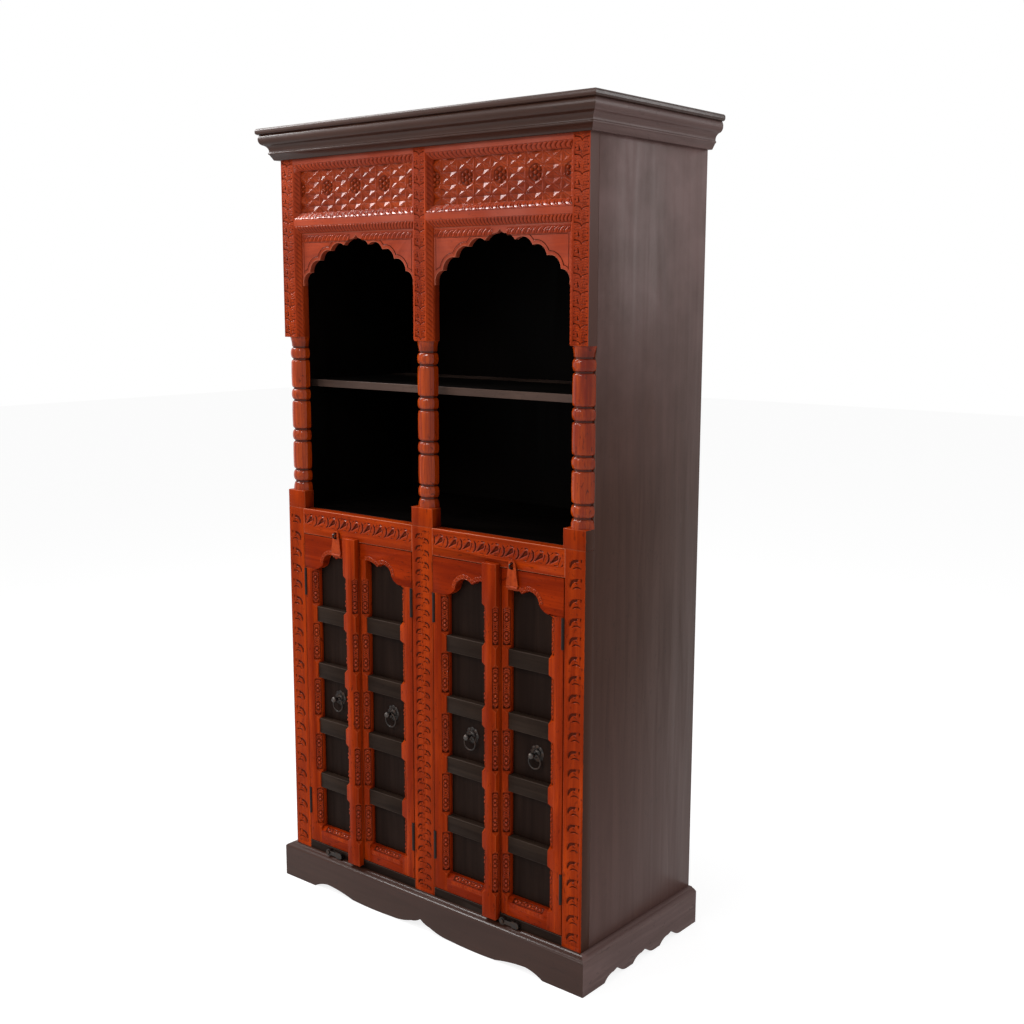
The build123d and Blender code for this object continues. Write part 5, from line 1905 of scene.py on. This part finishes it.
# ---------------------------------------------------------------- lower front
@dataclass
class DoorFrame:
    """The carved posts and rails round the doors."""

    names: Tuple[str, ...] = ("left", "centre", "right")
    spans: Tuple[Span, ...] = ((-465.5, -411.5), (-36.0, 28.0), (411.5, 465.5))
    margin: float = 9.0
    field: Span = (97.5, 975.0)
    band: Span = (940.0, 975.0)
    band_margin: float = 5.0
    pitch: float = 41.5
    paired_pitch: float = 28.0
    paired_size: float = 0.66

    def build(self) -> None:
        """Build and dress the door frame."""
        for name, span in zip(self.names, self.spans):
            node = f"lower_post_{name}"
            place_eased(f"{node}_timber", node, CARVED, ease=1.0, least=12.0)
            plot = upright_plot((span[0] + self.margin, span[1] - self.margin), CASE.front, self.field)
            bm = carved_strip(plot, self.commas(name, plot.width), cell=1.15)
            place_piece(f"{node}_carving", bm, CARVED)
        place_eased("head_rail_timber", "head_rails", CARVED_LEVEL, ease=0.9, least=12.0)
        for name, bay in zip(PAIRS, CASE.lower_bays):
            plot = level_plot((bay[0] + self.band_margin, bay[1] - self.band_margin), CASE.front, self.band)
            pitch = plot.length / round(plot.length / self.pitch)
            bm = carved_strip(plot, HookLeaves(plot.width, pitch), cell=1.1)
            place_piece(f"{name}_head_rail_carving", bm, HEAD_CARVED)
        place_eased("threshold_rail_timber", "threshold_rails", THRESHOLD_FINISH, ease=1.0, least=12.0)

    def commas(self, name: str, width: float) -> CommaLeaves:
        """Return one post's carving: two lanes of small commas on the centre post, else one.

        Args:
            name: The post's name.
            width: The carving's width.

        Returns:
            The pattern.
        """
        if name == "centre":
            return CommaLeaves(width, self.length_pitch(self.paired_pitch), lanes=2, size=self.paired_size)
        return CommaLeaves(width, self.length_pitch(self.pitch), mirrored=name == "left")

    def length_pitch(self, wanted: float) -> float:
        """Return the pitch nearest the wanted one that fills the field evenly."""
        length = self.field[1] - self.field[0]
        return length / round(length / wanted)


@dataclass
class DoorLeaf:
    """One panelled door leaf with its carvings and fittings."""

    name: str
    edge: float
    side: int
    width: float
    active: bool
    front: float = -199.4
    hinge_stile: float = 39.0
    batten_width: float = 41.0
    passive_stile: float = 18.0
    rail_top: float = 155.0
    shoulder: float = 834.5
    meeting_shoulder: float = 880.0
    zones: Tuple[Span, ...] = (
        (155.0, 262.4),
        (300.9, 408.25),
        (446.75, 554.1),
        (592.6, 700.0),
        (738.5, 834.5),
    )
    inset: float = 6.0
    stop_length: float = 7.5
    chamfer: Point = (15.0, 11.0)
    batten_chamfer: float = 11.0
    batten_proud: float = 16.0
    crest: Tuple[Point, ...] = ((0.0, 0.0), (0.24, 0.4), (0.48, 0.95), (0.65, 0.76), (1.0, 1.0))
    crest_sags: Tuple[float, ...] = (-0.12, 0.2, 0.1, 0.1)
    crest_steps: int = 12
    crest_width: float = 11.0
    level_reach: float = 0.2
    flower_inset: float = 0.5
    three_flowers_from: float = 100.0
    flower_reach: float = 44.0
    flower_gap: float = 6.0
    slope_height: float = 10.0
    leaf_band: Span = (22.0, 11.5)
    leaf_overhang: float = 4.0
    relief: float = 1.1
    relief_under_button: float = 0.6

    @property
    def body(self) -> str:
        """The CAD body of the leaf."""
        return f"{self.name}_door"

    def local_x(self, x: float) -> float:
        """Return the X of a place measured from the hinge edge."""
        return self.edge + self.side * x

    def stile_width(self) -> float:
        """Return the width of the stile at the meeting line."""
        return self.batten_width if self.active else self.passive_stile

    def build(self) -> None:
        """Build and dress the leaf."""
        parts = (
            ("stiles", 0.9, 12.0, DOOR_WOOD),
            ("end_rails", 0.9, 6.0, DOOR_LEVEL),
            ("cross_rails", 1.3, 12.0, CROSS_FINISH),
        )
        if self.active:
            parts += (("batten", 1.2, 8.0, DOOR_WOOD),)
        for part, ease, least, finish in parts:
            node = f"{self.name}_{part}"
            reshape = self.draw_out_stops if part in ("stiles", "batten") else None
            place_eased(f"{node}_timber", node, finish, ease, least, self.body, reshape)
        self.carvings()
        self.crest_carving()

    def draw_out_stops(self, bm: bmesh.types.BMesh) -> None:
        """Draw the ends of the chamfers out to points along their corners.

        Args:
            bm: The stiles or the batten, in metres.
        """
        levels = {}
        for low, high in self.zones:
            levels[low + self.inset] = -1.0
            for top in (high, self.meeting_shoulder) if high == self.shoulder else (high,):
                levels[top - self.inset] = 1.0
        for vert in bm.verts:
            for level, way in levels.items():
                if abs(vert.co.z / MM - level) > self.level_reach or len(vert.link_edges) != 3:
                    continue
                upright = [edge for edge in vert.link_edges if abs(heading(edge, vert).z) > STRAIGHT]
                if len(upright) == 1 and (upright[0].other_vert(vert).co.z - vert.co.z) * way > 0:
                    runs = [abs(heading(edge, vert).x) for edge in vert.link_edges if edge is not upright[0]]
                    if max(runs) > STRAIGHT and min(runs) < SQUARE:
                        vert.co.z += way * self.stop_length * MM

    def carvings(self) -> None:
        """Carve the flowers on the leaf's chamfers."""
        bm = fresh()
        wide, deep = self.chamfer
        faces = [(self.hinge_stile, -1, self.front, wide, deep, self.shoulder)]
        start = self.width - self.stile_width()
        if self.active:
            y = self.front - self.batten_proud
            faces.append((start, 1, y, self.batten_chamfer, self.batten_chamfer, self.meeting_shoulder))
            faces.append((self.width, -1, y, self.batten_chamfer, self.batten_chamfer, self.meeting_shoulder))
        else:
            faces.append((start, 1, self.front, wide, deep, self.meeting_shoulder))
        for x, stock, y, width, depth, top in faces:
            for low, high in self.zones:
                high = top if high == self.shoulder else high
                z = (low + self.inset + self.flower_inset, high - self.inset - self.flower_inset)
                plot = chamfer_plot(self.local_x(x), stock * self.side, y, width, depth, z)
                absorb(bm, self.flowers(plot, 3 if plot.length > self.three_flowers_from else 2))
        self.bottom_flowers(bm)
        place_piece(f"{self.name}_flower_carving", bm, DOOR_CARVED, self.body)

    def flowers(self, plot: Plot, count: int) -> bmesh.types.BMesh:
        """Return one strip of flowers.

        Args:
            plot: Where it lies.
            count: How many flowers it has.

        Returns:
            The strip as a closed bmesh.
        """
        row = FlowerRow(plot.width, plot.length, count)
        return carved_strip(plot, row, cell=0.85, back=THIN_BACK, wax_shade_gain=1.25)

    def bottom_flowers(self, bm: bmesh.types.BMesh) -> None:
        """Carve the flowers on the bottom rail's sloping edge, and the leaves below them.

        Args:
            bm: The mesh that they join.
        """
        inner = sorted((self.local_x(self.hinge_stile), self.local_x(self.width - self.stile_width())))
        middle = (inner[0] + inner[1]) / 2
        reach = min(self.flower_reach, (inner[1] - inner[0]) / 2 - self.flower_gap)
        low = (self.front, self.rail_top - self.slope_height)
        high = (self.front + self.chamfer[1], self.rail_top)
        plot = slope_plot((middle - reach, middle + reach), low, high, 0.0)
        absorb(bm, self.flowers(plot, 3))
        x = (middle - reach - self.leaf_overhang, middle + reach + self.leaf_overhang)
        z = (self.rail_top - self.leaf_band[0], self.rail_top - self.leaf_band[1])
        plot = level_plot(x, self.front, z)
        relief = self.relief_under_button if self.name == "left_outer" else self.relief
        leaves = Gadroons(
            plot.width, pitch=11.0, depth=relief, bow=0.5, slant=0.2, raised=relief - 0.2, vein=0.55 * relief
        )
        absorb(bm, carved_strip(plot, leaves, cell=1.1, back=THIN_BACK))

    def crest_line(self) -> np.ndarray:
        """Return the lower edge of the shaped top rail, from the hinge stile inwards.

        Returns:
            (x, z) points, in millimetres.
        """
        start, end = self.hinge_stile, self.width - self.stile_width()
        rise = self.meeting_shoulder - self.shoulder
        knots = [(start + share * (end - start), self.shoulder + up * rise) for share, up in self.crest]
        line: List[Point] = []
        for a, b, sag in zip(knots, knots[1:], self.crest_sags):
            cx, cz, radius = circle_of(a, b, abs(sag)) if sag > 0 else circle_of(b, a, abs(sag))
            first = math.atan2(a[1] - cz, a[0] - cx)
            last = math.atan2(b[1] - cz, b[0] - cx)
            turn = (last - first + math.pi) % math.tau - math.pi
            for step in range(self.crest_steps + 1):
                angle = first + turn * step / self.crest_steps
                line.append((cx + radius * math.cos(angle), cz + radius * math.sin(angle)))
        return np.array([(self.local_x(x), z) for x, z in line])

    def crest_carving(self) -> None:
        """Carve the leaf edge over the crown and tip of the top rail."""
        line = self.crest_line()[self.crest_steps :]
        keep = np.concatenate([[True], np.hypot(*np.diff(line, axis=0).T) > LEVEL_SLACK])
        line = line[keep]
        if self.side < 0:
            line = line[::-1]
        length = float(np.hypot(*np.diff(line, axis=0).T).sum())
        plot = BentPlot(line, self.front, self.crest_width, length)
        leaves = Gadroons(self.crest_width, pitch=8.6, depth=2.0, bow=0.6, slant=0.3, raised=1.8, vein=1.1)
        bm = carved_strip(plot, leaves, cell=0.95, back=THIN_BACK)
        place_piece(f"{self.name}_crest_carving", bm, DOOR_CARVED, self.body)


@dataclass
class RingPull:
    """A ring pull: petalled rose, eye, ball knob and hanging ring."""

    leaf: str
    x: float
    y: float = -178.4
    z: float = 507.44
    rose_radius: float = 20.0
    rose_height: float = 3.2
    rose_steps: Tuple[Point, ...] = (
        (0.75, 3.2),
        (0.60, 1.6),
        (0.52, 1.5),
        (0.46, 3.2),
        (0.36, 5.0),
        (0.26, 5.8),
    )
    petals: int = 8
    petal_cut: float = 0.10
    petal_fall: float = 0.55
    ball_radius: float = 7.5
    ball_out: float = 20.5
    ball_wear: float = 0.35
    ball_turn: Span = (-62.0, 152.0)
    ball_steps: int = 12
    neck_radius: float = 3.4
    neck: Span = (6.2, 13.0)
    ring_radius: float = 16.5
    wire: float = 1.9
    eye_out: float = 9.0
    steps: int = 64
    ring_steps: int = 56
    wire_steps: int = 14

    def build(self) -> None:
        """Build and dress the pull."""
        self.rose()
        self.ring()

    def rose(self) -> None:
        """Build the rose, the neck and the ball in one piece."""
        r, high = self.rose_radius, self.rose_height
        profile = [(0.0, 0.0), (r, 0.0), (r, 0.8), (r - 1.5, 1.8)]
        profile += [(r * share, height) for share, height in self.rose_steps]
        profile += [(self.neck_radius, height) for height in self.neck]
        for step in range(self.ball_steps + 1):
            turn = math.radians(self.ball_turn[0] + step * self.ball_turn[1] / self.ball_steps)
            reach, rise = self.ball_radius * math.cos(turn), self.ball_radius * math.sin(turn)
            profile.append((reach, self.ball_out + rise))
        profile.append((0.0, self.ball_out + self.ball_radius))
        bm = turned(profile, self.steps)
        layer = bm.faces.layers.float[WEAR_AND_HIGHLIGHT]
        for vert in bm.verts:
            radius = math.hypot(vert.co.x, vert.co.y) / MM
            if vert.co.z < high * MM * 1.2 and radius > r * 0.5:
                turn = math.atan2(vert.co.y, vert.co.x) * self.petals / 2
                lobe = abs(math.cos(turn))
                share = (radius / r - 0.5) / 0.5
                vert.co.x *= 1.0 - self.petal_cut * share * (1.0 - lobe)
                vert.co.y *= 1.0 - self.petal_cut * share * (1.0 - lobe)
                vert.co.z *= 0.45 + self.petal_fall * lobe
        for face in bm.faces:
            if face.calc_center_median().z > (self.ball_out - 2.0) * MM:
                face[layer] = self.ball_wear
        self.stand(bm)
        place_piece(f"{self.leaf}_pull_rose", bm, IRON, f"{self.leaf}_door", [f"{self.leaf}_pull_plate"])

    def stand(self, bm: bmesh.types.BMesh) -> None:
        """Turn a mesh from its Z axis to face the front, and move it to the pull's place.

        Args:
            bm: The mesh, in metres about the origin.
        """
        turn = UP.rotation_difference(FORWARD).to_matrix()
        bmesh.ops.rotate(bm, verts=bm.verts, cent=(0, 0, 0), matrix=turn)
        bmesh.ops.translate(bm, verts=bm.verts, vec=point(self.x, self.y, self.z))

    def ring(self) -> None:
        """Build the ring, hanging from the eye."""
        bm = fresh()
        bmesh.ops.create_circle(bm, segments=self.wire_steps, radius=self.wire * MM)
        turn = UP.rotation_difference(RIGHT).to_matrix()
        bmesh.ops.rotate(bm, verts=bm.verts, cent=(0, 0, 0), matrix=turn)
        bmesh.ops.translate(bm, verts=bm.verts, vec=(0, 0, self.ring_radius * MM))
        spin_round(bm, (0, 1, 0), self.ring_steps)
        place = point(self.x, self.y - self.eye_out, self.z - self.ring_radius)
        bmesh.ops.translate(bm, verts=bm.verts, vec=place)
        place_piece(f"{self.leaf}_pull_hoop", bm, IRON, f"{self.leaf}_ring", [f"{self.leaf}_pull_ring"])


@dataclass
class Doors:
    """The four door leaves with their pulls, hasps and turn buttons."""

    leaves: Tuple[Tuple[str, float, int, float, bool], ...] = (
        ("left_outer", -409.0, 1, 195.25, True),
        ("left_inner", -38.5, -1, 171.75, False),
        ("right_inner", 30.5, 1, 203.25, True),
        ("right_outer", 409.0, -1, 171.75, False),
    )
    fittings: Tuple[Tuple[str, str, float, Finish], ...] = (
        ("hasp", "hasp_strap", 0.7, STAINED_IRON),
        ("turn_button", "turn", 1.6, IRON),
    )
    fitting_edge: float = 2.0

    def build(self) -> None:
        """Build and dress the doors and their fittings."""
        for name, edge, side, width, active in self.leaves:
            DoorLeaf(name, edge, side, width, active).build()
            RingPull(name, edge + side * width / 2).build()
            dress(f"{name}_panels", PANEL_FINISH)
            dress(f"{name}_ironwork", LEAF_IRON)
        for pair in PAIRS:
            for part, body, ease, finish in self.fittings:
                node = f"{pair}_{part}"
                least = self.fitting_edge
                place_eased(f"{node}_forging", node, finish, ease, least, f"{pair}_{body}", shallow=0.0)
        dress("fixed_hinge_leaves", LEAF_IRON)
        dress("staples_and_pins", IRON)


def dress(node: str, finish: Finish) -> None:
    """Give a CAD node that shows as it is its finish.

    Args:
        node: The node's name.
        finish: Its finish.
    """
    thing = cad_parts[node]
    if not thing.material_slots:
        thing.data.materials.append(finish.material())
    for slot in thing.material_slots:
        slot.material = finish.material()
    log.info("%s: %s", node, finish.name)


# ---------------------------------------------------------------- case
@dataclass
class Carcass:
    """The boards, cornice and plinth."""

    eased: Tuple[Tuple[str, float, float, Finish], ...] = (
        ("side_panel_left", 0.8, 20.0, SIDE_FINISH),
        ("side_panel_right", 0.8, 20.0, SIDE_FINISH),
        ("top_board", 0.0, 20.0, CORNICE_FINISH),
        ("cornice_front", 0.0, 20.0, CORNICE_FINISH),
        ("cornice_returns", 0.0, 20.0, LIT_RETURN_FINISH),
        ("plinth_front", 0.0, 20.0, CORNICE_FINISH),
        ("plinth_returns", 0.0, 20.0, LIT_RETURN_FINISH),
        ("upper_shelf", 1.2, 20.0, SHELF_FINISH),
        ("deck_board", 0.8, 20.0, INNER_SHADE_FINISH),
    )
    plain: Tuple[Tuple[str, Finish], ...] = (
        ("back_panel", BACK_FINISH),
        ("bottom_board", INNER_SHADE_FINISH),
        ("lower_shelf", INNER_SHADE_FINISH),
        ("shelf_cleats", INNER_SHADE_FINISH),
    )

    def build(self) -> None:
        """Build and dress the boards."""
        for node, ease, least, finish in self.eased:
            place_eased(f"{node}_timber", node, finish, ease, least)
        for node, finish in self.plain:
            dress(node, finish)


# ---------------------------------------------------------------- studio
@dataclass
class Studio:
    """The plain floor, the soft lights and the camera."""

    camera_place: Vector = field(default_factory=lambda: Vector((2.0454, -2.3478, 1.5042)))
    azimuth: float = 39.63
    pitch: float = 9.31
    roll: float = 0.16
    lens: float = 45.87
    floor_size: float = 30.0
    floor_colour: Colour = (0.86, 0.86, 0.86)
    floor_glow: float = 0.84
    ambient: float = 0.42

    def build(self) -> None:
        """Build the studio."""
        self.floor()
        self.world()
        self.lights()
        self.camera()
        view = bpy.context.scene.view_settings
        view.view_transform = "Standard"

    def floor(self) -> None:
        """Lay the floor, which glows for the camera so that it stays near white."""
        bm = bmesh.new()
        bmesh.ops.create_grid(bm, x_segments=1, y_segments=1, size=self.floor_size / 2)
        mesh = bpy.data.meshes.new("floor")
        bm.to_mesh(mesh)
        bm.free()
        floor = bpy.data.objects.new("floor", mesh)
        bpy.context.scene.collection.objects.link(floor)
        sketch = Sketch("pale_floor")
        sketch.feed(sketch.shader.inputs["Base Color"], (0.30, 0.30, 0.30))
        sketch.shader.inputs["Roughness"].default_value = 0.9
        sketch.shader.inputs["Specular IOR Level"].default_value = 0.0
        glow = sketch.add("ShaderNodeEmission", {"Color": WHITE, "Strength": self.floor_glow})
        both = sketch.add("ShaderNodeAddShader", {0: sketch.shader.outputs[0], 1: glow.outputs[0]})
        plain = sketch.add("ShaderNodeBsdfDiffuse", {"Color": self.floor_colour})
        inputs = {0: sketch.seen_directly(), 1: plain.outputs[0], 2: both.outputs[0]}
        pick = sketch.add("ShaderNodeMixShader", inputs)
        sketch.feed(sketch.tree.nodes["Material Output"].inputs["Surface"], pick.outputs[0])
        mesh.materials.append(sketch.made)

    def world(self) -> None:
        """Make the surroundings white to the camera and softer to the object."""
        world = bpy.data.worlds.new("studio")
        bpy.context.scene.world = world
        world.use_nodes = True
        sheet = NodeSheet(world.node_tree)
        soft = sheet.tree.nodes["Background"]
        sheet.feed(soft.inputs["Color"], WHITE)
        sheet.feed(soft.inputs["Strength"], self.ambient)
        white = sheet.add("ShaderNodeBackground", {"Color": WHITE, "Strength": 1.0})
        inputs = {0: sheet.seen_directly(), 1: soft.outputs[0], 2: white.outputs[0]}
        pick = sheet.add("ShaderNodeMixShader", inputs)
        sheet.feed(sheet.tree.nodes["World Output"].inputs["Surface"], pick.outputs[0])

    def lights(self) -> None:
        """Hang the soft boxes."""
        boxes = (
            ("key_soft_box", (-1.3, -3.0, 2.9), (0.0, -0.1, 1.0), (1.1, 1.1), 24.0),
            ("glint_soft_box", (0.25, -2.7, 2.9), (0.0, -0.2, 1.1), (0.5, 0.5), 24.0),
            ("side_soft_box", (2.3, 2.1, 2.3), (0.4, 0.0, 1.2), (1.1, 1.1), 24.0),
            ("left_soft_box", (-2.05, -0.87, 2.70), (0.0, -0.2, 1.75), (0.6, 0.85), 50.0),
            ("upper_soft_box", (-2.05, -0.55, 3.85), (0.0, -0.2, 1.7), (1.2, 0.8), 48.0),
        )
        for name, place, aim, size, power in boxes:
            light = bpy.data.lights.new(name, "AREA")
            light.shape = "RECTANGLE"
            light.size, light.size_y = size
            light.energy = power
            lamp = bpy.data.objects.new(name, light)
            lamp.location = place
            lamp.rotation_euler = (Vector(aim) - Vector(place)).to_track_quat("-Z", "Y").to_euler()
            bpy.context.scene.collection.objects.link(lamp)

    def camera(self) -> None:
        """Set up the camera."""
        turn, dip, roll = (math.radians(angle) for angle in (self.azimuth, self.pitch, self.roll))
        ahead = Vector((-math.sin(turn) * math.cos(dip), math.cos(turn) * math.cos(dip), -math.sin(dip)))
        level = Vector((math.cos(turn), math.sin(turn), 0.0))
        up = level.cross(ahead)
        right = level * math.cos(roll) + up * math.sin(roll)
        top = up * math.cos(roll) - level * math.sin(roll)
        lens = bpy.data.cameras.new("camera")
        lens.lens = self.lens
        lens.sensor_width = 36.0
        lens.sensor_fit = "HORIZONTAL"
        lens.clip_end = 100.0
        camera = bpy.data.objects.new("camera", lens)
        bpy.context.scene.collection.objects.link(camera)
        matrix = camera.matrix_world.copy()
        for row in range(3):
            matrix[row][0], matrix[row][1], matrix[row][2] = right[row], top[row], -ahead[row]
            matrix[row][3] = self.camera_place[row]
        camera.matrix_world = matrix
        bpy.context.scene.camera = camera


def main() -> None:
    """Build the sub-assemblies in order."""
    logging.basicConfig(level=logging.INFO, format="%(name)s: %(message)s")
    Studio().build()
    Carcass().build()
    UpperPosts().build()
    Frieze().build()
    DoorFrame().build()
    Doors().build()


if __name__ == "__main__":
    main()
